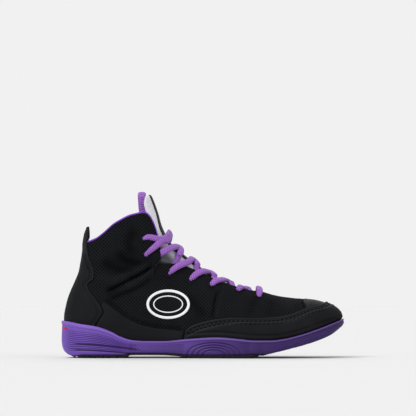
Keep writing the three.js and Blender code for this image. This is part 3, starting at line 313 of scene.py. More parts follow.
class Last:
    """Surface of the foot form in millimetres, as functions of its side view."""

    def __init__(self, sizes):
        for name in sizes.bl_rna.properties.keys():
            if name not in ("rna_type", "name"):
                setattr(self, name, 1000 * getattr(sizes, name))
        self.heel_round = 0.48 * self.heel_width
        self.toe_round = {-1: 0.6 * self.ball_width, 1: 0.43 * self.ball_width}
        self.top_round = 0.47 * self.ball_width
        self.toe_end = self.x_at(0.993)
        self.toe_drop = 0.112 * self.length
        self.foot = {-1: line(LAST, "along", "outer"), 1: line(LAST, "along", "inner")}
        self.leg = {-1: line(ANKLE, "up", "outer"), 1: line(ANKLE, "up", "inner")}
        self.middle = line(LAST, "along", "axis")
        self.sole_lines = {name: line(SOLE, "along", name) for name in ("tread", "seat", "lip")}
        self.back_line = line(BACK, "up", "along")
        self.crest_up = line(CREST, "along", "up")
        self.crest_along = line(CREST, "up", "along")
        self.toe_lip = SOLE["lip"][-1] * self.heel_wall
        self.edges()

    def x_at(self, along):
        return (np.asarray(along, float) - 0.5) * self.length

    def along_at(self, x):
        return np.asarray(x, float) / self.length + 0.5

    def z_at(self, up):
        up = np.asarray(up, float)
        above = self.collar_height - self.instep_height
        return np.where(up < 1, up * self.instep_height, self.instep_height + above * (up - 1))

    def up_at(self, z):
        z = np.asarray(z, float)
        above = self.collar_height - self.instep_height
        return np.where(z < self.instep_height, z / self.instep_height, 1 + (z - self.instep_height) / above)

    def sole(self, name, x):
        return self.sole_lines[name](np.clip(self.along_at(x), 0, 1)) * self.heel_wall

    def axis(self, x):
        return self.middle(self.along_at(x)) * self.ball_width

    def heel_back(self, z):
        return self.x_at(self.back_line(self.up_at(z)))

    def toe_front(self, z):
        return self.toe_end - 3.5 * (1 - ease((z - self.toe_lip + 5) / 10))

    def top_z(self, x):
        crest = self.z_at(self.crest_up(self.along_at(x)))
        nose = self.toe_lip + 1
        t = np.clip((self.toe_end - x) / self.toe_drop, 0, 1)
        return nose + (crest - nose) * np.sqrt(1 - (1 - t) ** 2)

    def pick(self, lines, side, value):
        return np.where(side < 0, lines[-1](value), lines[1](value))

    def toe_curve(self, side):
        return np.where(side < 0, self.toe_round[-1], self.toe_round[1])

    def body_width(self, x, z, side):
        """Half width of the foot and ankle before the crest rounds it off."""
        along, up = self.along_at(x), self.up_at(z)
        full = mix(self.heel_width, self.ball_width, ease((along - 0.3) / 0.35))
        foot = self.pick(self.foot, side, along) * full
        leg = self.pick(self.leg, side, up) * self.heel_width
        share = ease((up - 0.3) / 0.45) * (1 - ease((along - 0.36) / 0.24))
        tuck = 1 - 0.09 * (1 - np.clip((z - self.sole("seat", x)) / 13, 0, 1)) ** 2
        heel = rounding((x - self.heel_back(z)) / self.heel_round)
        return mix(foot, leg, share) * tuck * heel * rounding((self.toe_front(z) - x) / self.toe_curve(side))

    def half_width(self, x, z, side):
        below = np.maximum(0, self.top_z(x) - z)
        behind = np.maximum(0, self.x_at(self.crest_along(self.up_at(z))) - x)
        deep = below * behind / np.maximum(np.hypot(below, behind), 1e-9)
        high = self.top_z(x) - self.sole("seat", x)
        crest = high * self.top_round / (high**4 + self.top_round**4) ** 0.25
        return self.body_width(x, z, side) * rounding(deep / crest)

    def on_last(self, x, z, side):
        x, z, side = np.broadcast_arrays(np.asarray(x, float), np.asarray(z, float), side)
        return np.stack([x, self.axis(x) + side * self.half_width(x, z, side), z], -1)

    def places(self, rows):
        rows = np.asarray(rows, float)
        return np.stack([self.x_at(rows[..., 0]), self.z_at(rows[..., 1])], -1)

    def edges(self):
        """Boundary lines of the upper's side view."""
        self.seat_heel = float(self.heel_back(self.heel_wall * SOLE["seat"][0]))
        self.seat_toe = float(self.toe_front(0))
        topline = self.places(np.stack([TOPLINE["along"], TOPLINE["up"]], -1))
        self.opening_edge = trail(topline)
        collar_back, throat = topline[0], topline[-1]
        self.collar_back_z = collar_back[1]
        up_heel = np.array([0, 0.15, 0.3, 0.45, 0.6, 0.75, 0.9, 1])
        z = mix(self.sole("seat", self.seat_heel), collar_back[1], up_heel)
        self.heel_edge = trail(np.stack([self.heel_back(z), z], -1))
        z = mix(self.sole("seat", self.seat_toe), self.toe_lip - 1, np.array([0, 0.5, 1]))
        x = self.toe_end - self.toe_drop * np.array([0.02, 0.1, 0.22, 0.38, 0.6, 0.85])
        to_throat = np.array([0.15, 0.35, 0.55, 0.78, 1])
        x = np.concatenate([x, mix(self.toe_end - self.toe_drop, throat[0], to_throat)])
        front = np.stack([self.toe_front(z), z], -1)
        self.toe_edge = trail(np.vstack([front, np.stack([x, self.top_z(x)], -1)]))
        heel, toe = self.heel_edge(0.5), self.toe_edge(0.5)
        ends = [
            (0, self.along_at(self.seat_heel), self.along_at(heel[0]), self.up_at(heel[1])),
            (1, self.along_at(self.seat_toe), self.along_at(toe[0]), self.up_at(toe[1])),
        ]
        fan = table("share seat along up", ends[0], *FAN, ends[1])
        self.fan = {name: line(fan, "share", name) for name in ("seat", "along", "up")}
        t = np.array([0, 0.03, 0.06, 0.1, 0.15, 0.2, 0.26, 0.32, 0.4, 0.48, 0.56, 0.65, 0.74, 0.83, 0.92, 1])
        x = self.x_at(mix(TONGUE_TIP, TONGUE_FOOT, t))
        self.crest = trail(np.stack([x, self.top_z(x)], -1))

    def seat_edge(self, u):
        x = self.x_at(self.fan["seat"](u))
        return np.stack([x, self.sole("seat", x)], -1)

    def middle_edge(self, u):
        return np.stack([self.x_at(self.fan["along"](u)), self.z_at(self.fan["up"](u))], -1)

    def side_map(self, u, v):
        """Side-view place of u from heel to toe and crest and v from the seat to the opening."""
        u, v = np.broadcast_arrays(np.asarray(u, float), np.asarray(v, float))
        low = (v < 0.5)[..., None]
        t = np.where(v < 0.5, 2 * v, 2 * v - 1)[..., None]

        def across(at):
            below = np.where(low, self.seat_edge(at), self.middle_edge(at))
            return mix(below, np.where(low, self.middle_edge(at), self.opening_edge(at)), t)

        heel, toe = across(np.zeros_like(u)), across(np.ones_like(u))
        return across(u) + mix(self.heel_edge(v) - heel, self.toe_edge(v) - toe, u[..., None])

    def ring(self, count, rows):
        """Side views, sides and points of the whole upper, as rings of columns."""
        side, share = there_and_back(count)
        place = self.side_map(bunched(share)[None, :], np.asarray(rows)[:, None])
        points = self.on_last(place[..., 0], place[..., 1], side[None, :])
        ends = [0, count]
        points[:, ends, 1] = self.axis(points[:, ends, 0])
        return place, np.broadcast_to(side, place.shape[:2]), points

    def from_crest(self, share, y):
        """Point of the last at a share down the crest and a distance from the axis."""
        share, y = np.broadcast_arrays(np.asarray(share, float), np.asarray(y, float))
        here = self.crest(share)
        run = unit(self.crest(share + 0.01) - self.crest(share - 0.01))
        down = np.stack([run[..., 1], -run[..., 0]], -1)
        side = np.where(y < 0, -1, 1)
        deep, far = np.zeros_like(share), np.full_like(share, 1.3 * self.top_round)
        for _ in range(22):
            half = (deep + far) / 2
            at = here + half[..., None] * down
            less = self.half_width(at[..., 0], at[..., 1], side) < np.abs(y)
            deep, far = np.where(less, half, deep), np.where(less, far, half)
        at = here + deep[..., None] * down
        return np.stack([at[..., 0], self.axis(here[..., 0]) + y, at[..., 1]], -1)

    def crest_place(self, along, up):
        """Share down the crest and distance from the axis of a side-view place."""
        x, z = self.x_at(along), self.z_at(up)
        y = float(self.half_width(x, z, -1))
        share = np.linspace(0, 1, 401)
        found = self.from_crest(share, np.full_like(share, -y))
        return float(share[np.argmin(np.hypot(found[:, 0] - x, found[:, 2] - z))]), y

    def normal_at(self, x, z, side):
        """Outward direction of the last at side-view places."""
        a = self.on_last(x + 0.4, z, side) - self.on_last(x - 0.4, z, side)
        b = self.on_last(x, z + 0.4, side) - self.on_last(x, z - 0.4, side)
        return unit(np.cross(a, b) * np.where(side < 0, 1, -1)[..., None])

    def girth(self, x, z, side):
        """Distance up the surface from the seat to a side-view place."""
        t = np.linspace(0, 1, 40)
        shape = np.shape(x)
        x, z, side = (np.ravel(np.broadcast_to(a, shape)) for a in (x, z, side))
        low = self.sole("seat", x)
        height = low[:, None] + (z - low)[:, None] * np.sin(t * np.pi / 2)
        wide = self.half_width(x[:, None], height, side[:, None])
        return np.hypot(np.diff(wide, axis=1), np.diff(height, axis=1)).sum(1).reshape(shape)

    def outline(self, count):
        """Widest low line of the last with its outward direction, as a ring."""
        side, share = there_and_back(count)

        def low(x):
            return self.sole("seat", x) + 14

        x = mix(float(self.heel_back(low(self.seat_heel))), self.seat_toe, bunched(share))
        toe_round = self.toe_curve(side)
        full = np.maximum(rounding((self.toe_front(low(x)) - x) / toe_round), 1e-6)
        foot = self.body_width(x, low(x), side) / full
        at = np.stack([x, self.axis(x) + side * foot * rounding((self.seat_toe - x) / toe_round)], -1)
        run = unit(np.roll(at, -1, 0) - np.roll(at, 1, 0))
        return at, np.stack([run[:, 1], -run[:, 0]], -1), side

    def toe_share(self, x):
        return ease((self.along_at(x) - 0.67) / 0.07)

    def wrapped_share(self, x):
        """1 where the foam wraps round the rubber's edge, at the toe and round the back of the heel."""
        return np.maximum(self.toe_share(x), 1 - ease((self.along_at(x) - 0.02) / 0.06))

    def sole_edge(self, x):
        return 4.3 + 1.2 * ease((self.along_at(x) - 0.8) / 0.2)

    def sole_foot(self, x):
        return self.sole("tread", x) + mix(self.outsole + self.gap, 0.4, self.wrapped_share(x))

    def rubber_edge(self, x):
        """How far the rubber runs out past the outline, less where the foam wraps round it."""
        return mix(3.2, -5, self.wrapped_share(x))


def normals_of(grid, ring=False):
    """Outward direction at each point of a sheet or of stacked rings."""
    if ring:
        across = np.roll(grid, -1, 1) - np.roll(grid, 1, 1)
    else:
        across = np.gradient(grid, axis=1)
    return unit(np.cross(across, np.gradient(grid, axis=0)))


def shell(front, back, ring=False):
    """Points and faces of the body between two sheets, with 0 front, 1 back and 2 edge for each face."""
    high, wide = front.shape[:2]
    index = np.arange(high * wide).reshape(high, wide)
    here = index if ring else index[:, :-1]
    after = np.roll(index, -1, 1) if ring else index[:, 1:]
    n = high * wide
    groups = [
        (0, (here[:-1], after[:-1], after[1:], here[1:])),
        (1, (here[:-1] + n, here[1:] + n, after[1:] + n, after[:-1] + n)),
        (2, (here[0] + n, after[0] + n, after[0], here[0])),
        (2, (here[-1], after[-1], after[-1] + n, here[-1] + n)),
    ]
    if not ring:
        a, b = index[:, 0], index[:, -1]
        groups.append((2, (a[:-1] + n, a[:-1], a[1:], a[1:] + n)))
        groups.append((2, (b[:-1], b[:-1] + n, b[1:] + n, b[1:])))
    faces = [np.stack([c.ravel() for c in corners], -1) for _, corners in groups]
    kinds = [np.full(len(f), kind) for (kind, _), f in zip(groups, faces)]
    return np.vstack([front.reshape(-1, 3), back.reshape(-1, 3)]), np.vstack(faces), np.concatenate(kinds)


def stacked(rings):
    """Points and faces of a body of stacked rings, closed from side to side across the first and the last."""
    high, wide = rings.shape[:2]
    index = np.arange(high * wide).reshape(high, wide)
    after = np.roll(index, -1, 1)
    faces = np.stack([index[:-1], after[:-1], after[1:], index[1:]], -1).reshape(-1, 4).tolist()
    half = wide // 2
    for ring, order in ((index[0], 1), (index[-1], -1)):
        caps = [[ring[k], ring[-k], ring[-k - 1], ring[k + 1]] for k in range(1, half - 1)]
        caps += [[ring[0], ring[-1], ring[1]], [ring[half - 1], ring[half + 1], ring[half]]]
        faces += [cap[::order] for cap in caps]
    return rings.reshape(-1, 3), faces


def tube(centres, across, out, wide, deep, sides, square):
    """Closed tube of an oval section along centres, with length and turn for each point."""
    turn = 2 * np.pi * np.arange(sides) / sides
    c, s = (np.sign(a) * np.abs(a) ** (2 / square) for a in (np.cos(turn), np.sin(turn)))
    wide, deep = (np.broadcast_to(a, len(centres))[:, None, None] for a in (wide, deep))
    rings = centres[:, None] + across[:, None] * (c[None, :, None] * wide / 2)
    rings += out[:, None] * (s[None, :, None] * deep / 2)
    n = len(centres)
    index = np.arange(n * sides).reshape(n, sides)
    after = np.roll(index, -1, 1)
    faces = np.stack([index[:-1], index[1:], after[1:], after[:-1]], -1).reshape(-1, 4)
    far = np.concatenate([[0], np.cumsum(np.linalg.norm(np.diff(centres, axis=0), axis=1))])
    uv = np.stack(np.broadcast_arrays(turn[None, :] / (2 * np.pi), far[:, None]), -1).reshape(-1, 2)
    caps = [[n * sides, *pair] for pair in zip(index[0], after[0])]
    caps += [[n * sides + 1, *pair] for pair in zip(after[-1], index[-1])]
    ends = np.stack([
        centres[0] - (centres[1] - centres[0]) * 0.5,
        centres[-1] + (centres[-1] - centres[-2]) * 0.5,
    ])
    uv = np.vstack([uv, [[0.5, 0], [0.5, far[-1]]]])
    return np.vstack([rings.reshape(-1, 3), ends]), faces.tolist() + caps, uv


def frames_of(centres, out):
    """Directions across and out for each station of a path that lies on a surface."""
    run = np.gradient(centres, axis=0)
    across = unit(np.cross(run, out))
    return across, unit(np.cross(across, run))


def piece(name, points, faces, materials, uv=None, kinds=None, replaces=(), slot=None, values=None):
    """A shown mesh in metres from points in millimetres. One sheet's map and values serve both of a shell's."""
    mesh = bpy.data.meshes.new(name)
    mesh.from_pydata((points / 1000).tolist(), [], faces.tolist() if isinstance(faces, np.ndarray) else faces)
    for made in materials:
        mesh.materials.append(made)
    if kinds is not None:
        mesh.polygons.foreach_set("material_index", np.asarray(kinds, np.int32))
    mesh.polygons.foreach_set("use_smooth", np.full(len(mesh.polygons), True))
    if uv is not None:
        corners = np.zeros(len(mesh.loops), np.int32)
        mesh.loops.foreach_get("vertex_index", corners)
        uv = np.resize(np.asarray(uv, float).reshape(-1, 2), (len(points), 2))
        mesh.uv_layers.new(name="surface").data.foreach_set("uv", uv[corners].ravel())
    for label, data in (values or {}).items():
        layer = mesh.attributes.new(label, "FLOAT", "POINT")
        layer.data.foreach_set("value", np.resize(np.asarray(data, float), len(points)))
    mesh.update()
    return shown(name, mesh, replaces)


def shown(name, mesh, replaces=()):
    """An object of a mesh, tied to the frame."""
    made = bpy.data.objects.new(name, mesh)
    bpy.context.scene.collection.objects.link(made)
    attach(made, "root")
    if replaces:
        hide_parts(*replaces)
    return made


def layer_piece(name, points, normals, high, low, material_, **settings):
    """A piece between two heights over a sheet of points, in millimetres along its normals."""
    front, back = (points + normals * np.broadcast_to(h, points.shape[:2])[..., None] for h in (high, low))
    return piece(name, *shell(front, back)[:2], [material_], **settings)


def weld(made):
    """Merges doubles where a sheet runs to a point, then turns the faces outward."""
    same = 1e-6
    work = bmesh.new()
    work.from_mesh(made.data)
    bmesh.ops.remove_doubles(work, verts=work.verts, dist=same)
    bmesh.ops.dissolve_degenerate(work, dist=same, edges=work.edges)
    bmesh.ops.recalc_face_normals(work, faces=work.faces)
    work.to_mesh(made.data)
    work.free()


def linear(code):
    """An sRGB hex colour as linear light."""
    channels = [int(code[i : i + 2], 16) / 255 for i in (1, 3, 5)]
    return [c / 12.92 if c <= 0.04045 else ((c + 0.055) / 1.055) ** 2.4 for c in channels] + [1.0]


def add(tree, kind, inputs=None, **settings):
    """A node with its settings, and with its inputs set or linked."""
    made = tree.nodes.new(kind)
    for name, value in settings.items():
        setattr(made, name, value)
    for name, value in (inputs or {}).items():
        if isinstance(value, bpy.types.NodeSocket):
            tree.links.new(value, made.inputs[name])
        else:
            made.inputs[name].default_value = value
    return made


def material(name, finish, surface):
    """A material whose pattern, surface(tree, place), gives a colour, a height and perhaps a roughness."""
    made = bpy.data.materials.get(name)
    if made:
        return made
    made = bpy.data.materials.new(name)
    made.use_nodes = True
    tree = made.node_tree
    shader = tree.nodes["Principled BSDF"]
    for socket, value in finish.items():
        if socket != "Bump":
            shader.inputs[socket].default_value = value
    colour, height, *rough = surface(tree, add(tree, "ShaderNodeTexCoord").outputs["Object"])
    tree.links.new(colour, shader.inputs["Base Color"])
    raised = add(tree, "ShaderNodeBump", {"Height": height, "Strength": finish["Bump"], "Distance": 0.0005})
    tree.links.new(raised.outputs[0], shader.inputs["Normal"])
    if rough:
        tree.links.new(rough[0], shader.inputs["Roughness"])
    return made


def weave(tree, first, second, operation):
    """Two sets of waves over the piece's surface map, crossed, each given by its turns a step along u and v."""
    uv = add(tree, "ShaderNodeUVMap", uv_map="surface").outputs[0]
    waves = {}
    for slot, (u, v) in enumerate((first, second)):
        turns = (2 * math.pi * u, 2 * math.pi * v, 0)
        phase = add(tree, "ShaderNodeVectorMath", {0: uv, 1: turns}, operation="DOT_PRODUCT").outputs["Value"]
        waves[slot] = add(tree, "ShaderNodeMath", {0: phase}, operation="SINE").outputs[0]
    crossed = add(tree, "ShaderNodeMath", waves, operation=operation).outputs[0]
    return add(tree, "ShaderNodeMath", {0: crossed, 1: 0.5, 2: 0.5}, operation="MULTIPLY_ADD").outputs[0]


def knit_mesh(colours):
    """Knitted polyester mesh, to the eye dull slanted yarns over dark holes, drawn coarser than real at 2.5 mm."""

    def surface(tree, place):
        yarn = weave(tree, (0.288, 0.276), (0.288, -0.276), "MAXIMUM")
        broad = add(tree, "ShaderNodeTexNoise", {"Vector": place, "Scale": 60, "Detail": 4}).outputs[0]
        raised = add(tree, "ShaderNodeMath", {0: yarn, 1: 1.6}, operation="POWER").outputs[0]
        lit = add(tree, "ShaderNodeMath", {0: raised, 1: 0.75}, operation="MULTIPLY").outputs[0]
        tone = add(tree, "ShaderNodeMath", {0: broad, 1: 0.35, 2: lit}, operation="MULTIPLY_ADD").outputs[0]
        # Painted shade and highlight: the piece's relief darkens the mesh in its creases and seam troughs and
        # lightens it on the ridges beside them.
        relief = add(tree, "ShaderNodeAttribute", attribute_name="relief").outputs["Fac"]
        tone_with_painted_light = add(tree, "ShaderNodeMath", {0: relief, 1: 0.9, 2: 1.0}, operation="MULTIPLY_ADD").outputs[0]
        tone = add(tree, "ShaderNodeMath", {0: tone, 1: tone_with_painted_light}, operation="MULTIPLY").outputs[0]
        ends = {0: tone, 6: linear(colours.mesh_hole), 7: linear(colours.mesh_yarn)}
        return add(tree, "ShaderNodeMix", ends, data_type="RGBA").outputs[2], yarn

    finish = {"Roughness": 0.85, "Specular IOR Level": 0.02, "Bump": 0.8}
    return material("knitted_polyester_mesh", finish, surface)


def synthetic(colours):
    """Coated microfibre, to the eye a fine pebble grain with a low sheen and paler patches, with painted highlight
    on ridges and painted shade in sewn grooves where a piece gives its relief.
    """

    def surface(tree, place):
        fine = add(tree, "ShaderNodeTexNoise", {"Vector": place, "Scale": 1400, "Detail": 3}).outputs[0]
        broad = add(tree, "ShaderNodeTexNoise", {"Vector": place, "Scale": 45, "Detail": 4}).outputs[0]
        # Painted light: the piece's relief adds to the grain's tone, lighter on raised ridges (painted highlight)
        # and darker in sewn grooves (painted shade).
        relief = add(tree, "ShaderNodeAttribute", attribute_name="relief").outputs["Fac"]
        tone_with_painted_light = add(tree, "ShaderNodeMath", {0: fine, 1: 0.12, 2: relief}, operation="MULTIPLY_ADD").outputs[0]
        tone = add(tree, "ShaderNodeMath", {0: broad, 1: 0.45, 2: tone_with_painted_light}, operation="MULTIPLY_ADD").outputs[0]
        ends = {0: tone, 6: linear(colours.synthetic_dark), 7: linear(colours.synthetic_light)}
        colour = add(tree, "ShaderNodeMix", ends, data_type="RGBA").outputs[2]
        rough = add(tree, "ShaderNodeMath", {0: broad, 1: 0.2, 2: 0.5}, operation="MULTIPLY_ADD").outputs[0]
        return colour, fine, rough

    return material("coated_microfibre", {"Roughness": 0.55, "Specular IOR Level": 0.08, "Bump": 0.3}, surface)


def lining():
    """Brushed tricot lining, to the eye soft and matt with a faint nap."""

    def surface(tree, place):
        settings = {"Vector": place, "Scale": 900, "Detail": 4, "Roughness": 0.7}
        nap = add(tree, "ShaderNodeTexNoise", settings).outputs[0]
        ends = {0: nap, 6: linear("#0c0c0e"), 7: linear("#232327")}
        return add(tree, "ShaderNodeMix", ends, data_type="RGBA").outputs[2], nap

    finish = {"Roughness": 1.0, "Specular IOR Level": 0.05, "Sheen Weight": 0.03, "Bump": 0.5}
    return material("brushed_tricot_lining", finish, surface)


def moulded_foam(colours):
    """Moulded EVA foam, to the eye a satin skin with fine orange peel; darker towards the toe as painted shade,
    partly the foam's own colour, darker in the wall's grooves as painted shade, and paler along the lip as painted
    highlight, partly wear.
    """

    def surface(tree, place):
        peel = add(tree, "ShaderNodeTexNoise", {"Vector": place, "Scale": 700, "Detail": 2}).outputs[0]
        broad = add(tree, "ShaderNodeTexNoise", {"Vector": place, "Scale": 22, "Detail": 3}).outputs[0]
        lip_highlight_and_wear, ahead, hollow = (
            add(tree, "ShaderNodeAttribute", attribute_name=name).outputs["Fac"]
            for name in ("lip_highlight_and_wear", "ahead", "hollow")
        )
        # Darker towards the toe: painted shade where the sole curves under, partly the foam's own colour.
        ends = {0: ahead, 6: linear(colours.foam_heel), 7: linear(colours.foam_toe_with_painted_shade)}
        base = add(tree, "ShaderNodeMix", ends, data_type="RGBA").outputs[2]
        # Painted shade: the grooves of the wall's relief darken towards the shade colour by their depth; the broad
        # noise adds random darker patches.
        cut = add(tree, "ShaderNodeMath", {0: hollow, 1: 0.8}, operation="MULTIPLY").outputs[0]
        shade = add(tree, "ShaderNodeMath", {0: broad, 1: 0.3, 2: cut}, operation="MULTIPLY_ADD").outputs[0]
        ends = {0: shade, 6: base, 7: linear(colours.foam_dark)}
        toned = add(tree, "ShaderNodeMix", ends, data_type="RGBA").outputs[2]
        # Paler along the lip's bead and top: painted highlight, partly wear.
        lip = add(tree, "ShaderNodeMath", {0: lip_highlight_and_wear, 1: 0.5}, operation="MULTIPLY").outputs[0]
        ends = {0: lip, 6: toned, 7: linear(colours.foam_lip_highlight_and_wear)}
        colour = add(tree, "ShaderNodeMix", ends, data_type="RGBA").outputs[2]
        rough = add(tree, "ShaderNodeMath", {0: broad, 1: 0.15, 2: 0.42}, operation="MULTIPLY_ADD").outputs[0]
        return colour, peel, rough

    return material("moulded_eva_foam", {"Roughness": 0.5, "Specular IOR Level": 0.28, "Bump": 0.12}, surface)


def rubber():
    """Moulded rubber, to the eye a dull black with a fine moulded grit."""

    def surface(tree, place):
        settings = {"Vector": place, "Scale": 1100, "Detail": 3, "Roughness": 0.6}
        grit = add(tree, "ShaderNodeTexNoise", settings).outputs[0]
        broad = add(tree, "ShaderNodeTexNoise", {"Vector": place, "Scale": 50, "Detail": 3}).outputs[0]
        ends = {0: broad, 6: linear("#08080a"), 7: linear("#151517")}
        return add(tree, "ShaderNodeMix", ends, data_type="RGBA").outputs[2], grit

    return material("moulded_black_rubber", {"Roughness": 0.7, "Specular IOR Level": 0.2, "Bump": 0.4}, surface)


def braid(name, dark, light, pitch=2.4, bump=0.9):
    """Braided polyester, to the eye slanted yarns that cross on a 2 to 3 mm repeat, with a soft pile."""

    def surface(tree, place):
        yarn = weave(tree, (4, 1 / pitch), (-4, 1 / pitch), "MAXIMUM")
        settings = {"Vector": place, "Scale": 300, "Detail": 3, "Roughness": 0.6}
        pile = add(tree, "ShaderNodeTexNoise", settings).outputs[0]
        fuzz = add(tree, "ShaderNodeMath", {0: pile, 1: 0.4}, operation="MULTIPLY").outputs[0]
        tone = add(tree, "ShaderNodeMath", {0: yarn, 1: 0.7, 2: fuzz}, operation="MULTIPLY_ADD").outputs[0]
        ends = {0: tone, 6: linear(dark), 7: linear(light)}
        return add(tree, "ShaderNodeMix", ends, data_type="RGBA").outputs[2], yarn

    finish = {"Roughness": 0.8, "Specular IOR Level": 0.25, "Bump": bump}
    finish.update({"Sheen Weight": 0.15, "Sheen Roughness": 0.4})
    return material(name, finish, surface)


def tongue_mesh(name, dark, light):
    """Spacer mesh over foam, to the eye small round holes every 2 mm in a knit."""

    def surface(tree, place):
        knit = weave(tree, (0.5, 0.25), (0, 1 / 1.9), "MINIMUM")
        broad = add(tree, "ShaderNodeTexNoise", {"Vector": place, "Scale": 80, "Detail": 4}).outputs[0]
        soft = add(tree, "ShaderNodeMath", {0: broad, 1: 0.7}, operation="MULTIPLY").outputs[0]
        tone = add(tree, "ShaderNodeMath", {0: knit, 1: 0.4, 2: soft}, operation="MULTIPLY_ADD").outputs[0]
        ends = {0: tone, 6: linear(dark), 7: linear(light)}
        base = add(tree, "ShaderNodeMix", ends, data_type="RGBA").outputs[2]
        # Painted shade: the piece's shade value darkens the mesh towards a dark grey.
        shade = add(tree, "ShaderNodeAttribute", attribute_name="shade").outputs["Fac"]
        ends = {0: shade, 6: base, 7: linear("#2c2933")}
        return add(tree, "ShaderNodeMix", ends, data_type="RGBA").outputs[2], knit

    finish = {"Roughness": 0.9, "Specular IOR Level": 0.25, "Sheen Weight": 0.15, "Bump": 0.6}
    return material(name, finish, surface)


def plain(name, dark, light, scale, roughness, bump):
    """A close finish, to the eye one colour whose grain shows as small changes of tone and height."""

    def surface(tree, place):
        fine = add(tree, "ShaderNodeTexNoise", {"Vector": place, "Scale": scale, "Detail": 3}).outputs[0]
        ends = {0: fine, 6: linear(dark), 7: linear(light)}
        return add(tree, "ShaderNodeMix", ends, data_type="RGBA").outputs[2], fine

    return material(name, {"Roughness": roughness, "Specular IOR Level": 0.1, "Bump": bump}, surface)


def follow(name, points, normals, runs, shape, made):
    """Copies of a small shape on points, each set on the surface and turned along its path, as one mesh."""
    mesh = bpy.data.meshes.new(name + "_points")
    mesh.from_pydata((points / 1000).tolist(), [], [])
    for label, data in (("up", normals), ("run", runs)):
        layer = mesh.attributes.new(label, "FLOAT_VECTOR", "POINT")
        layer.data.foreach_set("vector", np.asarray(data, float).ravel())
    seeds = bpy.data.objects.new(name + "_points", mesh)
    bpy.context.scene.collection.objects.link(seeds)
    tree = bpy.data.node_groups.new(name + "_copies", "GeometryNodeTree")
    tree.interface.new_socket("Geometry", in_out="INPUT", socket_type="NodeSocketGeometry")
    wanted = tree.interface.new_socket("Shape", in_out="INPUT", socket_type="NodeSocketObject")
    scale = tree.interface.new_socket("Scale", in_out="INPUT", socket_type="NodeSocketFloat")
    tree.interface.new_socket("Geometry", in_out="OUTPUT", socket_type="NodeSocketGeometry")
    given = add(tree, "NodeGroupInput").outputs
    up, run = (
        add(tree, "GeometryNodeInputNamedAttribute", {"Name": label}, data_type="FLOAT_VECTOR").outputs[0]
        for label in ("up", "run")
    )
    axes = {"Primary Axis": up, "Secondary Axis": run}
    turn = add(tree, "FunctionNodeAxesToRotation", axes, primary_axis="Z", secondary_axis="X").outputs[0]
    held = add(tree, "GeometryNodeObjectInfo", {"Object": given["Shape"]}).outputs["Geometry"]
    places = {"Points": given["Geometry"], "Instance": held, "Rotation": turn, "Scale": given["Scale"]}
    copies = add(tree, "GeometryNodeInstanceOnPoints", places).outputs[0]
    real = add(tree, "GeometryNodeRealizeInstances", {"Geometry": copies}).outputs[0]
    painted = add(tree, "GeometryNodeSetMaterial", {"Geometry": real, "Material": made}).outputs[0]
    add(tree, "NodeGroupOutput", {"Geometry": painted})
    grow = seeds.modifiers.new("copies", "NODES")
    grow.node_group = tree
    grow[wanted.identifier] = shape
    grow[scale.identifier] = 1.0
    result = bpy.data.meshes.new_from_object(seeds.evaluated_get(bpy.context.evaluated_depsgraph_get()))
    result.name = name
    result.polygons.foreach_set("use_smooth", np.full(len(result.polygons), True))
    bpy.data.objects.remove(seeds)
    bpy.data.objects.remove(shape)
    return shown(name, result)


def lathe(name, profile, sides):
    """Helper object: a closed turned shape from (radius, height) in millimetres, with its ends on the axis."""
    turn = 2 * np.pi * np.arange(sides) / sides
    inner = profile[1:-1]
    points = [[0, 0, profile[0][1]], [0, 0, profile[-1][1]]]
    points += [[r * math.cos(a), r * math.sin(a), h] for r, h in inner for a in turn]
    rings = 2 + np.arange(len(inner) * sides).reshape(-1, sides)
    after = np.roll(rings, -1, 1)
    faces = [[0, a, b] for a, b in zip(rings[0], after[0])]
    faces += np.stack([rings[:-1], rings[1:], after[1:], after[:-1]], -1).reshape(-1, 4).tolist()
    faces += [[1, b, a] for a, b in zip(rings[-1], after[-1])]
    mesh = bpy.data.meshes.new(name)
    mesh.from_pydata((np.array(points) / 1000).tolist(), [], faces)
    made = bpy.data.objects.new(name, mesh)
    bpy.context.scene.collection.objects.link(made)
    return made


def stitch_shape(length, width, high):
    """Helper object: one stitch, a low closed bead that is longer than it is wide."""
    made = lathe("stitch_shape", [(0, high), (0.62, high * 0.86), (1, 0), (0.8, -high), (0, -high)], 8)
    for point in made.data.vertices:
        point.co.x *= length / 2
        point.co.y *= width / 2
    return made


def stitches_on(last, path, side, pitch, lift):
    """Places, normals and runs of stitches along a side-view path on one side of the shoe."""
    place = path(np.linspace(0, 1, 900))
    place = place[place[:, 1] < last.top_z(place[:, 0]) - 0.15]
    drawn = last.on_last(place[:, 0], place[:, 1], np.full(len(place), side))
    far = np.concatenate([[0], np.cumsum(np.linalg.norm(np.diff(drawn, axis=0), axis=1))])
    count = max(2, int(far[-1] / pitch))
    stops = (np.arange(count) + 0.5) / count * far[-1]
    place = np.stack([np.interp(stops, far, place[:, k]) for k in range(2)], -1)
    side = np.full(count, side)
    normal = last.normal_at(place[:, 0], place[:, 1], side)
    points = last.on_last(place[:, 0], place[:, 1], side) + normal * lift
    return points, normal, np.gradient(points, axis=0)


def sew(name, last, rows, made, shape, pitch):
    """Rows of stitches, given as side-view paths with the height of the surface they sit on."""
    parts = [stitches_on(last, path, side, pitch, lift) for path, lift in rows for side in (-1, 1)]
    points, normals, runs = (np.vstack(stack) for stack in zip(*parts))
    return follow(name, points, normals, runs, shape, made)


def troughs(last, x, z, marks):
    """Depth of soft creases at side-view places."""
    deep = np.zeros(np.shape(x))
    for points, wide, depth in marks:
        share = np.linspace(0, 1, 60)
        taper = ease(np.minimum(share, 1 - share) * 6 + 0.25)
        path = trail(last.places(points))(share)
        near = [
            t * np.exp(-1.6 * ((x - px) ** 2 + (z - pz) ** 2) / wide**2) for t, (px, pz) in zip(taper, path)
        ]
        deep += depth * np.max(near, axis=0)
    return deep


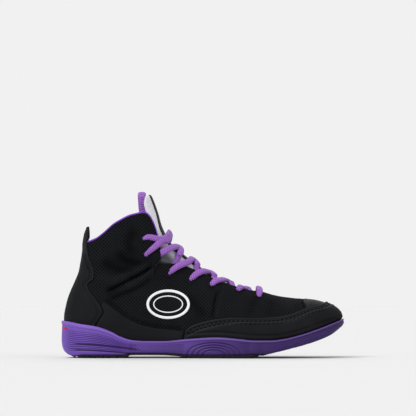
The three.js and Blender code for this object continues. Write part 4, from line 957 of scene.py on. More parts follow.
def bevelled(shape, full, thin):
    """Heights that are thin round the border of a sheet, so that its edge looks rolled."""
    high = np.full(shape, float(thin))
    high[1:-1, 1:-1] = full
    return high


def coons(bottom, top, left, right, high, wide):
    """Side-view places inside four boundary curves."""
    u, v = np.linspace(0, 1, wide)[None, :, None], np.linspace(0, 1, high)[:, None, None]
    b, t = bottom(u[..., 0]), top(u[..., 0])
    l, r = left(v[..., 0]), right(v[..., 0])
    corners = mix(mix(b[:, :1], b[:, -1:], u), mix(t[:, :1], t[:, -1:], u), v)
    return mix(b, t, v) + mix(l, r, u) - corners


class ShoeSizes(bpy.types.PropertyGroup):
    """Sizes of the shoe."""

    length: FloatProperty(name="Length", description="Sole, heel to toe", default=0.286, unit="LENGTH")
    ball_width: FloatProperty(
        name="Ball width", description="Sole across the ball",
        default=0.099, unit="LENGTH",
    )
    heel_width: FloatProperty(
        name="Heel width", description="Sole across the heel",
        default=0.071, unit="LENGTH",
    )
    instep_height: FloatProperty(
        name="Instep height", description="Floor to the eyestay's top",
        default=0.095, unit="LENGTH",
    )
    collar_height: FloatProperty(
        name="Collar height", description="Floor to the collar's front top",
        default=0.1465, unit="LENGTH",
    )
    heel_wall: FloatProperty(
        name="Heel wall", description="Floor to the sole's lip at the heel",
        default=0.037, unit="LENGTH",
    )
    upper_wall: FloatProperty(
        name="Upper wall", description="Mesh, foam and lining together",
        default=0.0018, unit="LENGTH",
    )
    overlay: FloatProperty(
        name="Overlay", description="Thickness of the synthetic overlays",
        default=0.001, unit="LENGTH",
    )
    gap: FloatProperty(name="Gap", description="Between pieces that meet", default=0.0003, unit="LENGTH")
    outsole: FloatProperty(
        name="Outsole", description="Thickness of the rubber",
        default=0.0032, unit="LENGTH",
    )
    insole: FloatProperty(
        name="Insole", description="Thickness of the footbed",
        default=0.0036, unit="LENGTH",
    )
    lace_width: FloatProperty(
        name="Lace width", description="Width of the oval lace",
        default=0.0068, unit="LENGTH",
    )
    lace_depth: FloatProperty(
        name="Lace depth", description="Depth of the oval lace",
        default=0.0042, unit="LENGTH",
    )
    piping: FloatProperty(
        name="Piping", description="Diameter of the collar binding",
        default=0.0024, unit="LENGTH",
    )
    stitch_pitch: FloatProperty(
        name="Stitch pitch", description="Distance between the bold stitches",
        default=0.0044, unit="LENGTH",
    )


class ShoeColours(bpy.types.PropertyGroup):
    """Colours of the shoe, as sRGB hex values."""

    foam_heel: StringProperty(name="Foam at the heel", description="Sole foam at the heel", default="#7350b4")
    # Darker than the heel's foam: painted shade, partly the foam's own colour.
    foam_toe_with_painted_shade: StringProperty(name="Foam at the toe", description="Sole foam at the toe", default="#2e1757")
    # Darker patches of the foam, and the painted shade in the wall's grooves.
    foam_dark: StringProperty(name="Foam shade", description="Darker patches of the foam", default="#301b52")
    # Paler lip of the foam: painted highlight, partly wear.
    foam_lip_highlight_and_wear: StringProperty(name="Foam lip", description="Rubbed lip of the foam", default="#9672cc")
    mesh_hole: StringProperty(name="Mesh holes", description="Holes of the upper's mesh", default="#030304")
    mesh_yarn: StringProperty(name="Mesh yarn", description="Yarn of the upper's mesh", default="#1e1f22")
    synthetic_dark: StringProperty(name="Synthetic", description="Overlay material", default="#0b0b0d")
    # The light end of the overlays' tone, reached by random paler patches and by the painted highlight on ridges.
    synthetic_light: StringProperty(name="Rubbed synthetic", description="Rubbed overlays", default="#28292d")
    thread: StringProperty(name="Thread", description="Bold stitching", default="#050506")
    tongue_light: StringProperty(name="Tongue", description="Light mesh of the tongue", default="#f3f4f8")
    tongue_shade: StringProperty(name="Tongue shade", description="Holes of its mesh", default="#cdcbd5")
    lace_dark: StringProperty(name="Lace shade", description="Lace between the yarns", default="#5b3480")
    lace_light: StringProperty(name="Lace", description="Lace yarns", default="#a46cc8")
    binding: StringProperty(name="Binding", description="Collar binding", default="#8d4fd0")


def the_last(context):
    return Last(context.scene.shoe_sizes)


class StageOperator(bpy.types.Operator):
    """Sets the pale floor, the soft studio lights and the camera"""

    bl_idname = "shoe.stage"
    bl_label = "Stage"

    def execute(self, context):
        scene = context.scene
        angle = np.linspace(0, 2 * np.pi, 96, endpoint=False)
        mesh = bpy.data.meshes.new("studio_floor")
        mesh.from_pydata([(9 * math.cos(a), 9 * math.sin(a), 0) for a in angle], [], [list(range(96))])
        floor = bpy.data.objects.new("studio_floor", mesh)
        scene.collection.objects.link(floor)
        mesh.materials.append(plain("studio_paper", "#dedede", "#e0e0e0", 3, 1.0, 0))
        world = bpy.data.worlds.new("studio")
        world.use_nodes = True
        tree = world.node_tree
        back = tree.nodes["Background"]
        back.inputs["Color"].default_value = linear("#f1f1f1")
        seen = add(tree, "ShaderNodeLightPath").outputs["Is Camera Ray"]
        glow = add(tree, "ShaderNodeMath", {0: seen, 1: 0.55, 2: 0.45}, operation="MULTIPLY_ADD").outputs[0]
        tree.links.new(glow, back.inputs["Strength"])
        scene.world = world
        lights = [
            ("key", (-0.75, -1.0, 1.35), 0.7, 2.3),
            ("fill", (1.3, -0.8, 0.6), 1.2, 0.6),
            ("rim", (-0.1, 1.2, 1.0), 0.9, 0.9),
        ]
        for name, place, soft, power in lights:
            data = bpy.data.lights.new(name, "SUN")
            data.angle, data.energy = soft, power
            lamp = bpy.data.objects.new(name, data)
            lamp.location = place
            lamp.rotation_euler = Vector(place).to_track_quat("Z", "Y").to_euler()
            scene.collection.objects.link(lamp)
        camera = bpy.data.cameras.new("camera")
        camera.sensor_width = 36
        wide = PICTURE * PIXEL
        camera.lens = camera.sensor_width * CAMERA_AWAY / wide
        camera.shift_y = (PICTURE_MIDDLE - CAMERA_HEIGHT) / wide
        camera.clip_end = 60
        view = bpy.data.objects.new("camera", camera)
        view.location = (CAMERA_ALONG, -CAMERA_AWAY, CAMERA_HEIGHT)
        view.rotation_euler = (math.pi / 2, 0, 0)
        scene.collection.objects.link(view)
        scene.camera = view
        scene.view_settings.view_transform = "Standard"
        return {"FINISHED"}


class LaceOperator(bpy.types.Operator):
    """Threads one oval lace through the eyelets, with its hidden ends behind the top pair"""

    bl_idname = "shoe.lace"
    bl_label = "Lace"

    def crossing(self, last, k, sign):
        """Stations of a crossing: share down the crest, offset from the axis, height, width, depth and turn."""
        along, up, to_along, to_up, lift, lands, droop = LACING[k]
        start, end = last.crest_place(along, up), last.crest_place(to_along, to_up)
        first, from_flap = k == 0, k == 1
        reach = end[1] if first else 0.75 * end[1]
        over = (0.9 if first else 1.4) if sign > 0 else -0.5
        stations = []
        for t in (0, 0.035, 0.1, 0.2, 0.32, 0.5, 0.68, 0.8, 0.9, 0.965, 1):
            high = mix(ON_TOP, lift, ease(2 * t)) if t < 0.5 else mix(lift, lands, ease(2 * t - 1))
            high += over * swell(t, 0.5, 0.2)
            wide = deep = 1.0
            if t == 0:
                high, wide, deep = UNDER_FLAP if from_flap else IN_HOLE
            if t == 0.035 or t == 0.965 and first:
                high, wide = (BY_HOLE[0], 1.0) if from_flap else BY_HOLE
            if t == 1:
                high, wide, deep = IN_HOLE if first else (min(high, -1.6), 0.9, 0.5)
            deep *= 1 - 0.22 * swell(t, 0.5, 0.12)
            sag = swell(t, 0.2, 0.16) if first else swell(t, 0.24, 0.14)
            share = mix(start[0], end[0], t) + droop * sag * ease(t / 0.12)
            turn = int(t == 0) - int(t == 1)
            stations.append((share, sign * mix(-start[1], reach, t), high, wide, deep, turn))
        return stations

    def half(self, last, holes):
        """Stations of one half of the lace, from its hidden end at a top eyelet to a front eyelet."""
        share, y = holes[0]
        stations = [(share - 0.012, -y + 1, *UNDER_END, 0)]
        for k in range(len(LACING)):
            sign = 1 if k % 2 == 0 else -1
            stations += self.crossing(last, k, sign)
            here = stations[-1]
            share, y = holes[k + 1] if k else last.crest_place(*LACING[1][:2])
            for t in (0.25, 0.5, 0.75):
                stations.append((mix(here[0], share, t), mix(here[1], sign * y, t), *HIDDEN, 0))
        return stations

    def execute(self, context):
        last, colours = the_last(context), context.scene.shoe_colours
        holes = [last.crest_place(*row) for row in EYELETS]
        half = self.half(last, holes)
        share, y = holes[6]
        front = []
        for t in (0, 0.05, 0.13, 0.3, 0.5, 0.7, 0.87, 0.95, 1):
            high, wide, deep = ON_TOP, 1, 1
            if t in (0, 1):
                high, wide, deep = IN_HOLE
            if t in (0.05, 0.95):
                high, wide = BY_HOLE
            turn = int(t == 0) - int(t == 1)
            front.append((share - 0.014 * math.sin(math.pi * t), mix(y, -y, t), high, wide, deep, turn))
        back = [(s, -y, h, w, d, -turn) for s, y, h, w, d, turn in half[::-1]]
        rows = np.array(half + front + back)
        share, y = rows[:, 0], rows[:, 1]
        at = last.from_crest(share, y)
        down = last.from_crest(share + 0.004, y) - at
        wide = last.from_crest(share, y + 0.5) - last.from_crest(share, y - 0.5)
        out = unit(np.cross(wide, down))
        out *= np.sign(out[:, 2:3] + 1e-9)
        path = trail(at + out * rows[:, 2:3], steps=10)
        s = np.linspace(0, 1, int(path.length / 0.6))
        centres, own = path(s), path.stops
        run = np.gradient(at, axis=0)
        for k in np.flatnonzero(rows[:, 5]):
            run[k] = (at[k + int(rows[k, 5])] - at[k]) * rows[k, 5]
        across = unit(np.cross(run, out))
        for k in range(1, len(across)):
            across[k] *= 1 if across[k] @ across[k - 1] > 0 else -1
        across = np.stack([np.interp(s, own, across[:, k]) for k in range(3)], -1)
        run = unit(np.gradient(centres, axis=0))
        across = unit(across - run * (across * run).sum(1, keepdims=True))
        outs = np.cross(across, run)
        wides = last.lace_width * np.interp(s, own, rows[:, 3])
        deeps = last.lace_depth * np.interp(s, own, rows[:, 4])
        points, faces, uv = tube(centres, across, outs, wides, deeps, 16, 2.3)
        piece(
            "lace", points, faces, [braid("braided_lace", colours.lace_dark, colours.lace_light)], uv,
            replaces=[f"lace_{k}" for k in range(1, 8)], slot="lace",
        )
        return {"FINISHED"}


class SoleOperator(bpy.types.Operator):
    """Moulds the cupped foam sole with the ribs and arcs of its side, and the rubber tread under it"""

    bl_idname = "shoe.sole"
    bl_label = "Sole"

    def relief(self, last, x, z, level):
        """Depth of the wall's relief: heel ribs, sweeps, arcs under the ball, hatching and toe lines."""
        along = last.along_at(x)
        ribs = (0.5 - 0.5 * np.cos(2 * np.pi * level * 17)) ** 1.5
        deep = 0.75 * band(along, 0.005, 0.03, 0.2, 0.1) * band(level, 0.12, 0.05, 0.72, 0.06) * ribs
        for start, drop in SWEEPS:
            t = np.clip((along - 0.05) / 0.23, 0, 1)
            at = last.heel_wall * (start - drop * t**1.8)
            deep += 1.1 * band(along, 0.035, 0.03, 0.25, 0.04) * swell(z, at, 0.8)
        centre = last.x_at(0.537)
        far = np.hypot(x - centre, (z - last.sole_foot(centre)) / 0.46)
        fan = band(far, 5, 3, 29, 2) * (1 - ease((level - 0.78) / 0.08))
        deep += (0.5 - 0.5 * np.cos(2 * np.pi * (far - 3) / 5.2)) ** 2 * fan
        hatch = (0.5 + 0.5 * np.sin(2 * np.pi * (x + 1.1 * z) / 3.4)) ** 1.5
        for low, high, top in HATCHES:
            mask = band(along, low, 0.012, high - 0.012, 0.012) * ease((far - 29) / 2)
            deep += 0.85 * hatch * mask * (1 - ease((level - top) / 0.1))
        cross = np.maximum(swell((x + 2.2 * z) % 16, 8, 1.4), swell((x - 3.4 * z) % 18, 9, 1.4))
        return deep + 0.45 * cross * ease((along - 0.78) / 0.05) * band(level, 0.08, 0.08, 0.72, 0.12)

    def execute(self, context):
        last, colours = the_last(context), context.scene.shoe_colours
        at, out, side = last.outline(SOLE_COLUMNS)
        edge = last.sole_edge(at[:, 0])

        def row(far, height):
            plan = at + out * np.broadcast_to(far, len(at))[:, None]
            return np.column_stack([plan, height(plan[:, 0])])

        profile = line(WALL, "level", "out")
        levels = np.concatenate([np.linspace(0, 0.14, 8), np.linspace(0.15, 0.68, 72), np.linspace(0.7, 1, 18)])
        ledge = np.minimum(last.rubber_edge(at[:, 0]) + 0.3, edge - 1.7)

        def recess(x):
            return last.sole("tread", x) + last.outsole + last.gap

        rows = [row(ledge, recess), row(ledge, lambda x: np.minimum(last.sole_foot(x), recess(x)))]
        # Per row: share of the paler lip (painted highlight, partly wear) and depth of the wall's relief, which
        # darkens its grooves as painted shade.
        lip_highlight_and_wear, hollow = [0, 0], [np.zeros(len(at))] * 2
        for level in levels:
            base = row(edge + profile(level), lambda x: mix(last.sole_foot(x), last.sole("lip", x), level))
            deep = self.relief(last, base[:, 0], base[:, 2], level)
            base[:, :2] -= out * deep[:, None]
            rows.append(base)
            # Paler on the lip's bead: painted highlight, partly wear.
            lip_highlight_and_wear.append(swell(level, 0.94, 0.04))
            hollow.append(deep)

        def reach(height):
            """How far out the foot form lies from the outline at each column's height."""
            low, high = np.full(len(at), -24.0), np.full(len(at), 5.0)
            for _ in range(24):
                half = (low + high) / 2
                plan = at + out * half[:, None]
                x = plan[:, 0]
                inside = np.abs(plan[:, 1] - last.axis(x)) < last.half_width(x, height, side)
                low, high = np.where(inside, half, low), np.where(inside, high, half)
            return low

        lip = last.sole("lip", at[:, 0])
        seat = last.sole("seat", at[:, 0])
        outer = edge - 0.1
        inner = np.minimum(reach(lip) + 2 * last.gap + last.overlay, outer - 1.2)
        for share, drop in ((0.35, 0.35), (0.72, 0.5), (1, 0.2)):
            rows.append(row(mix(outer, inner, share), lambda x: lip + 0.1 + drop * 0.4))
            # The lip's top face is paler: painted highlight, partly wear.
            lip_highlight_and_wear.append(0.9)
        for share in (0.92, 0.7, 0.4, 0.12, 0):
            z = mix(seat - last.gap, lip, share)
            far = reach(np.maximum(z, seat)) + 2 * last.gap + last.overlay
            rows.append(row(np.minimum(far, edge - 1.2), lambda x: z))
            lip_highlight_and_wear.append(0)
        grid = np.array(rows)
        hollow += [np.zeros(len(at))] * (len(grid) - len(hollow))
        # Share towards the toe, which darkens the foam as painted shade, partly its own colour.
        ahead = ease((last.along_at(grid[..., 0]) - 0.02) / 0.78)
        tone_with_painted_light = np.broadcast_to(np.array(lip_highlight_and_wear, float)[:, None], grid.shape[:2])
        piece(
            "midsole_cup", *stacked(grid), [moulded_foam(colours)], replaces=["midsole"], slot="midsole_eva",
            values={"lip_highlight_and_wear": tone_with_painted_light, "hollow": np.clip(hollow, 0, 1), "ahead": ahead},
        )
        self.tread(last)
        return {"FINISHED"}

    def tread(self, last):
        """Rubber plate with its bars, rings and fine lines cut into the underside."""
        count = SOLE_COLUMNS
        at, out, _ = last.outline(count)
        plan = at + out * last.rubber_edge(at[:, 0])[:, None]
        lateral, medial = plan[: count + 1], np.vstack([plan[:1], plan[count:][::-1]])[: count + 1]
        t = bunched(np.linspace(0, 1, 84), 0.5)
        sheet = mix(lateral[:, None], medial[:, None], t[None, :, None])
        x, y = sheet[..., 0], sheet[..., 1]
        cut = np.zeros(x.shape)
        for along, lean in TREAD_BARS:
            line_x = last.x_at(along) + lean * last.length * y / (0.6 * last.ball_width)
            cut = np.maximum(cut, 1 - ease((np.abs(x - line_x) - 1.2) / 0.8))
        far = np.hypot(x - last.x_at(0.572), y - 0.03 * last.ball_width)
        for radius in TREAD_RINGS:
            cut = np.maximum(cut, 1 - ease((np.abs(far - radius) - 1) / 0.8))
        cut = np.maximum(cut, band(x, last.x_at(0.235), 1.5, last.x_at(0.42), 1.5))
        fine = 0.22 * (0.5 + 0.5 * np.sin(2 * np.pi * (x + np.abs(y - last.axis(x))) / 4.2)) * (1 - cut)
        edge = np.minimum(t, 1 - t)[None, :] * 60
        low = last.sole("tread", x) + 1.5 * cut + fine + 0.35 * (1 - ease(edge))
        bottom = np.stack([x, y, low], -1)
        top = np.stack([x, y, last.sole("tread", x) + last.outsole], -1)
        points, faces, _ = shell(top, bottom)
        weld(piece("tread", points, faces, [rubber()], replaces=["outsole"], slot="outsole_rubber"))


class UpperOperator(bpy.types.Operator):
    """Makes the mesh upper as one hollow shell, with its creases, seams and lining, and the footbed inside"""

    bl_idname = "shoe.upper"
    bl_label = "Upper"

    def execute(self, context):
        last, colours = the_last(context), context.scene.shoe_colours
        rows = np.linspace(0, 1, 84)
        place, side, points = last.ring(150, rows)
        normals = normals_of(points, ring=True)
        x, z = place[..., 0], place[..., 1]
        rim = np.clip((1 - rows) / 0.05, 0, 1)[:, None]
        deep = troughs(last, x, z, CREASES) * ease(rim)
        for seam in (VAMP_SEAM, TOE_SEAM):
            deep += troughs(last, x, z, [(seam, 1.3, 1.0), ([(a + 0.013, b) for a, b in seam], 2.2, -0.5)])
        slack = 0.35 * np.sin(x / 7.3 + 1.3 * np.sin(z / 11)) * np.sin(z / 6.1 + x / 23) * ease(rim)
        front = points + normals * (slack - deep)[..., None]
        cover = z < last.sole("lip", x) + 3
        front = np.where(cover[..., None], points, front)
        rise = unit(points[-1] - points[-2])
        back = points - normals * last.upper_wall
        front[-1] = points[-1] - normals[-1] * 0.25 + rise * 0.1
        back[-1] = points[-1] - normals[-1] * (last.upper_wall - 0.25) + rise * 0.1
        made_points, faces, kinds = shell(front, back, ring=True)
        seam = trail(last.places(TOE_SEAM))(np.linspace(0, 1, 40))
        ahead = x > np.interp(z, seam[::-1, 1], seam[::-1, 0]) + 1.5
        kinds = np.where(kinds == 1, 1, 0)
        kinds[: ahead[:-1].size][ahead[:-1].ravel()] = 2
        # Painted shade in the creases and seam troughs, painted highlight on the ridges beside them, read by the
        # mesh and the toe's synthetic.
        relief = np.clip(-deep, -1, 0.6)
        girth = last.girth(x, z, side)
        piece(
            "upper_shell", made_points, faces, [knit_mesh(colours), lining(), synthetic(colours)],
            np.stack([x, girth], -1), kinds, ["upper"], "mesh_upper", {"relief": relief},
        )
        self.footbed(last)
        return {"FINISHED"}

    def footbed(self, last):
        """Foam insole in stacked rings, with a soft rolled edge."""
        low = last.ring(110, [0])[2][0]
        x = low[:, 0]
        towards = unit(np.stack([x, last.axis(x), last.sole("seat", x)], -1) - low)
        rings = []
        profile = ((-0.2, 3.2), (0.1, 2.6), (0.5, 2.4), (0.85, 2.45), (1, 2.9), (1.03, 3.6), (0.97, 6))
        for high, inset in profile:
            ring = low + towards * inset
            ring[:, 2] = last.sole("seat", ring[:, 0]) + last.insole * high
            rings.append(ring)
        fabric = plain("footbed_fabric", "#131316", "#2c2c31", 1200, 0.95, 0.5)
        made = piece("footbed", *stacked(np.array(rings)), [fabric], replaces=["insole"], slot="footbed")


class OverlayOperator(bpy.types.Operator):
    """Lays the heel counter with its tab, the low side panels and the toe rand over the upper"""

    bl_idname = "shoe.overlays"
    bl_label = "Overlays"

    def execute(self, context):
        last, colours = the_last(context), context.scene.shoe_colours
        made = synthetic(colours)
        top = last.gap + last.overlay
        for side, name in ((-1, "side_panel_lateral"), (1, "side_panel_medial")):
            left = trail(last.places([
                (0.119, 0.155), (0.1275, 0.352), (0.152, 0.486), (0.1435, 0.55), (0.15, 0.6),
            ]))
            right = trail(last.places([(0.427, 0.13), (0.4275, 0.2), (0.434, 0.285)]))
            roof = trail(last.places([
                (0.15, 0.6), (0.178, 0.539), (0.238, 0.411), (0.301, 0.336), (0.37, 0.303), (0.434, 0.285),
            ]))
            x = last.x_at(mix(0.119, 0.427, np.linspace(0.12, 0.9, 8)))
            seat = np.stack([x, last.sole("seat", x) + 1.5], -1)
            base = trail(np.vstack([left(0.0), seat, right(0.0)]))
            place = coons(base, roof, left, right, 34, 90)[:, ::-side]
            x, z, sides = place[..., 0], place[..., 1], np.full(place.shape[:2], side)
            layer_piece(
                f"panel_{'outer' if side < 0 else 'inner'}",
                last.on_last(x, z, side), last.normal_at(x, z, sides),
                bevelled(x.shape, top, last.gap + 0.35), last.gap, made,
                uv=np.stack([x, last.girth(x, z, sides)], -1), replaces=[name], slot="synthetic_overlay",
            )
        self.counter(last, made, top)
        self.rand(last, made, top)
        return {"FINISHED"}

    def counter(self, last, made, top):
        """Heel counter in rows up the heel, which runs up into the free-standing tab."""
        edge = line(COUNTER, "up", "along")
        up = np.concatenate([np.linspace(0.2, 1.0, 70), np.linspace(1.01, 1.735, 52)])
        z = last.z_at(up)
        reach = np.linspace(-1, 1, 97)[::-1]
        share = 1 - np.cos(np.pi / 2 * np.abs(reach))
        back, front_x = last.heel_back(z), last.x_at(edge(up))
        x = mix(back[:, None], front_x[:, None], share[None, :])
        side = np.where(reach > 0, 1, -1)[None, :]
        points = last.on_last(x, z[:, None], side)
        points[:, 48, 1] = last.axis(points[:, 48, 0])
        normals = normals_of(points)
        tab = ease((points[..., 2] - last.collar_back_z + 8) / 8)
        puff = 0.9 * swell(up, 0.55, 0.22)[:, None] * (1 - np.abs(reach[None, :]) ** 2)
        height = points[..., 2]
        high = mix(top + puff * 0.4, 1.9 - 1.2 * ease((height - 124) / 9), tab)
        low = mix(last.gap, -1.1, ease((height - 118.5) / 4))
        border = bevelled(high.shape, 1, 0)
        from_edge = front_x[:, None] - x
        rows_sewn = swell(from_edge, 2.3, 0.7) + swell(from_edge, 4.3, 0.7)
        high = mix(low + 0.35, high - 0.4 * rows_sewn * (1 - tab), border)
        uv = np.stack(np.broadcast_arrays(reach[None, :] * 30, z[:, None]), -1)
        # Paler along the front edge; darker in the two sewn grooves below the tab, as painted shade.
        relief = 0.25 * swell(from_edge, 1.5, 2.5) - 0.15 * np.clip(rows_sewn, 0, 1) * (1 - tab)
        layer_piece(
            "counter_and_tab", points, normals, high, low, made, uv=uv, replaces=["heel_counter"],
            slot="synthetic_overlay", values={"relief": relief},
        )

    def rand(self, last, made, top):
        """Toe rand between the sole and its stitched top edge, with a rolled ridge along that edge."""
        roof = line(RAND, "along", "up")
        side, share = there_and_back(190, 1)
        u = mix(0.58, 1, mix(share, np.sin(np.pi / 2 * share), 0.6))

        def above(place):
            x, z = place[..., 0], place[..., 1]
            past = last.along_at(x) > 0.951
            limit = last.z_at(roof(np.minimum(last.along_at(x), 0.951)))
            return (z > limit) & ~past | (last.along_at(x) < 0.4285)

        grid = np.linspace(0, 1, 160)
        seen = above(last.side_map(u[None, :], grid[:, None]))
        first = np.argmax(seen, axis=0)
        low, high = grid[np.maximum(first - 1, 0)], grid[first]
        for _ in range(14):
            half = (low + high) / 2
            over = above(last.side_map(u, half))
            low, high = np.where(over, low, half), np.where(over, half, high)
        keep = low > 0.02
        u, side, low = u[keep], side[keep], low[keep]
        v = np.concatenate([np.linspace(0, 0.5, 30)[:-1], np.linspace(0.5, 1, 44)])[:, None] * low[None, :]
        place = last.side_map(u[None, :], v)
        side = np.broadcast_to(side, v.shape)
        points = last.on_last(place[..., 0], place[..., 1], side)
        normals = normals_of(points)
        up = place[..., 1] - last.sole("lip", place[..., 0])
        roll = 0.5 * swell(up, 3, 1.6)
        steps = np.linalg.norm(np.diff(points, axis=0), axis=-1)
        down = np.vstack([np.cumsum(steps[::-1], axis=0)[::-1], np.zeros(len(u))])
        ridge = 0.45 * swell(down, 0.8, 0.8) - 0.35 * swell(down, 3, 0.8) + 0.15 * swell(down, 4.4, 0.5)
        ridge += 0.4 * swell(down, 7.8, 1.0) - 0.35 * swell(down, 5.8, 0.8) - 0.35 * swell(up, 5.6, 1.1)
        height = last.gap + (last.overlay + ridge + roll) * bevelled(v.shape, 1, 0.35)
        # Paler over the stitched top band; lighter on the rolled ridges as painted highlight, and darker in the
        # stitch grooves and the low groove as painted shade.
        relief = 0.02 + 0.3 * (1 - ease((down - 8) / 3)) + np.clip(0.7 * ridge, -0.2, 0.4)
        layer_piece(
            "rand_round_toe", points, normals, height, last.gap, made,
            uv=np.stack([place[..., 0], last.girth(place[..., 0], place[..., 1], side)], -1),
            replaces=["toe_rand"], slot="synthetic_overlay", values={"relief": relief},
        )


class TongueOperator(bpy.types.Operator):
    """Pads the tongue, light mesh with a raised dark middle, and stands the pull loop behind it"""

    bl_idname = "shoe.tongue"
    bl_label = "Tongue"

    def execute(self, context):
        last, colours = the_last(context), context.scene.shoe_colours
        lines = {name: line(TONGUE, "share", name) for name in ("half", "depth", "sink")}
        share = np.concatenate([np.linspace(0, 0.06, 10)[:-1], np.linspace(0.06, 1, 92)])[::-1]
        down = np.linspace(2, 46, 45)
        run = unit(last.crest(share + 0.01) - last.crest(share - 0.01))
        at = last.crest(share)[:, None] + down[None, :, None] * np.stack([run[:, 1], -run[:, 0]], -1)[:, None]
        room = {}
        for side, kept in ((-1, 0.985), (1, 0.965)):
            room[side] = kept * last.half_width(at[..., 0], at[..., 1], np.array(side)).max(1)
        middle = TONGUE_MIDDLE
        w = np.concatenate([
            np.linspace(-1, -middle, 23)[:-1], np.linspace(-middle, middle, 27), np.linspace(middle, 1, 23)[1:],
        ])
        half = lines["half"](share)
        outer, inner = np.minimum(half, room[-1])[:, None], np.minimum(half, room[1])[:, None]
        y = w[None, :] * np.where(w[None, :] < 0, outer, inner)
        sheet = last.from_crest(share[:, None], y)
        normals = normals_of(sheet)
        middle = 1 - ease((np.abs(w[None, :]) - 0.37) / 0.05)
        seam = swell(np.abs(w[None, :]), 0.44, 0.035)
        edge = np.minimum(1, (1 - np.abs(w)) / 0.12)[None, :] * np.minimum(1, share / 0.02)[:, None]
        soft = 0.3 * np.sin(sheet[..., 0] / 5.2) * np.sin(y / 8) * (1 - middle)
        rolled = 1 - np.sqrt(np.clip(edge, 0, 1))
        up = -lines["sink"](share)[:, None] + 0.55 * middle - 0.7 * seam + soft - 0.9 * rolled
        depth = mix(lines["depth"](share)[:, None], 1.4, np.abs(w)[None, :] ** 3)
        low = -lines["sink"](share)[:, None] - depth + 0.6 * rolled
        front, back = sheet + normals * up[..., None], sheet + normals * low[..., None]
        points, faces, kinds = shell(front, back)
        uv = np.stack([y, share[:, None] * 190 + 0 * y], -1)
        # Painted shade on the lower outer wings of the tongue, towards the notch.
        shade = 0.9 * ease((np.abs(w)[None, :] - 0.6) / 0.3) * ease((share[:, None] - 0.16) / 0.1)
        cell = np.broadcast_to(np.abs((w[:-1] + w[1:]) / 2) < TONGUE_MIDDLE, (len(share) - 1, len(w) - 1))
        which = np.where(kinds == 2, 1, 0)
        which[: cell.size] = np.where(cell.ravel(), 2, 1)
        which[cell.size : 2 * cell.size] = 1
        light = tongue_mesh("light_spacer_mesh", colours.tongue_shade, colours.tongue_light)
        dark = tongue_mesh("dark_spacer_mesh", "#0b0b0d", "#232428")
        made = piece(
            "tongue_pad", points, faces, [light, light, dark], uv, which, ["tongue"], "tongue_mesh",
            {"shade": shade},
        )
        self.gussets(last)
        self.loop(last, colours)
        return {"FINISHED"}

    def gussets(self, last):
        """Thin mesh sewn between the tongue's edges and the upper, seen in the corner of the notch."""
        hub = last.places(GUSSET_HUB)
        edge = trail(last.places(GUSSET_EDGE))(np.linspace(0, 1, 60))
        share = np.linspace(-0.4, 0.62, 18)[:, None]
        place = mix(edge[None], hub, share[..., None])
        x, z = place[..., 0], place[..., 1]
        under = mix(last.upper_wall + 0.5, 4.4, ease((share + 0.05) / 0.6)) + 0 * x
        mesh = tongue_mesh("dark_gusset_mesh", "#141318", "#39363f")
        for side, name in ((-1, "outer"), (1, "inner")):
            points, normals = last.on_last(x, z, side), last.normal_at(x, z, np.full(x.shape, side))
            layer_piece(
                f"tongue_gusset_{name}", points[:, ::-side], normals[:, ::-side], -under[:, ::-side],
                -under[:, ::-side] - 0.7, mesh, uv=place, slot="tongue_mesh",
            )

    def loop(self, last, colours):
        """Pull loop as one cord: up one leg, over the tip and down the other."""
        legs = trail(last.places(LOOP_LEG))
        half, tip, up = LOOP_HALF, legs(1.0), legs(np.linspace(0, 1, 34))
        turn = np.linspace(0, np.pi, 18)[1:-1]
        centres = np.vstack([
            np.column_stack([up[:, 0], np.full(34, -half), up[:, 1]]),
            np.column_stack([np.full(16, tip[0]), -half * np.cos(turn), tip[1] + 0.9 * half * np.sin(turn)]),
            np.column_stack([up[::-1, 0], np.full(34, half), up[::-1, 1]]),
        ])
        run = np.gradient(centres, axis=0)
        out = np.cross(np.array([[1.0, 0, 0]]), run)
        across, out = frames_of(centres, out)
        points, faces, uv = tube(centres, across, out, 1.2 * last.lace_width, last.lace_depth, 16, 2.4)
        cord = braid("braided_lace", colours.lace_dark, colours.lace_light)
        piece("pull_loop_cord", points, faces, [cord], uv, replaces=["pull_loop"], slot="lace")


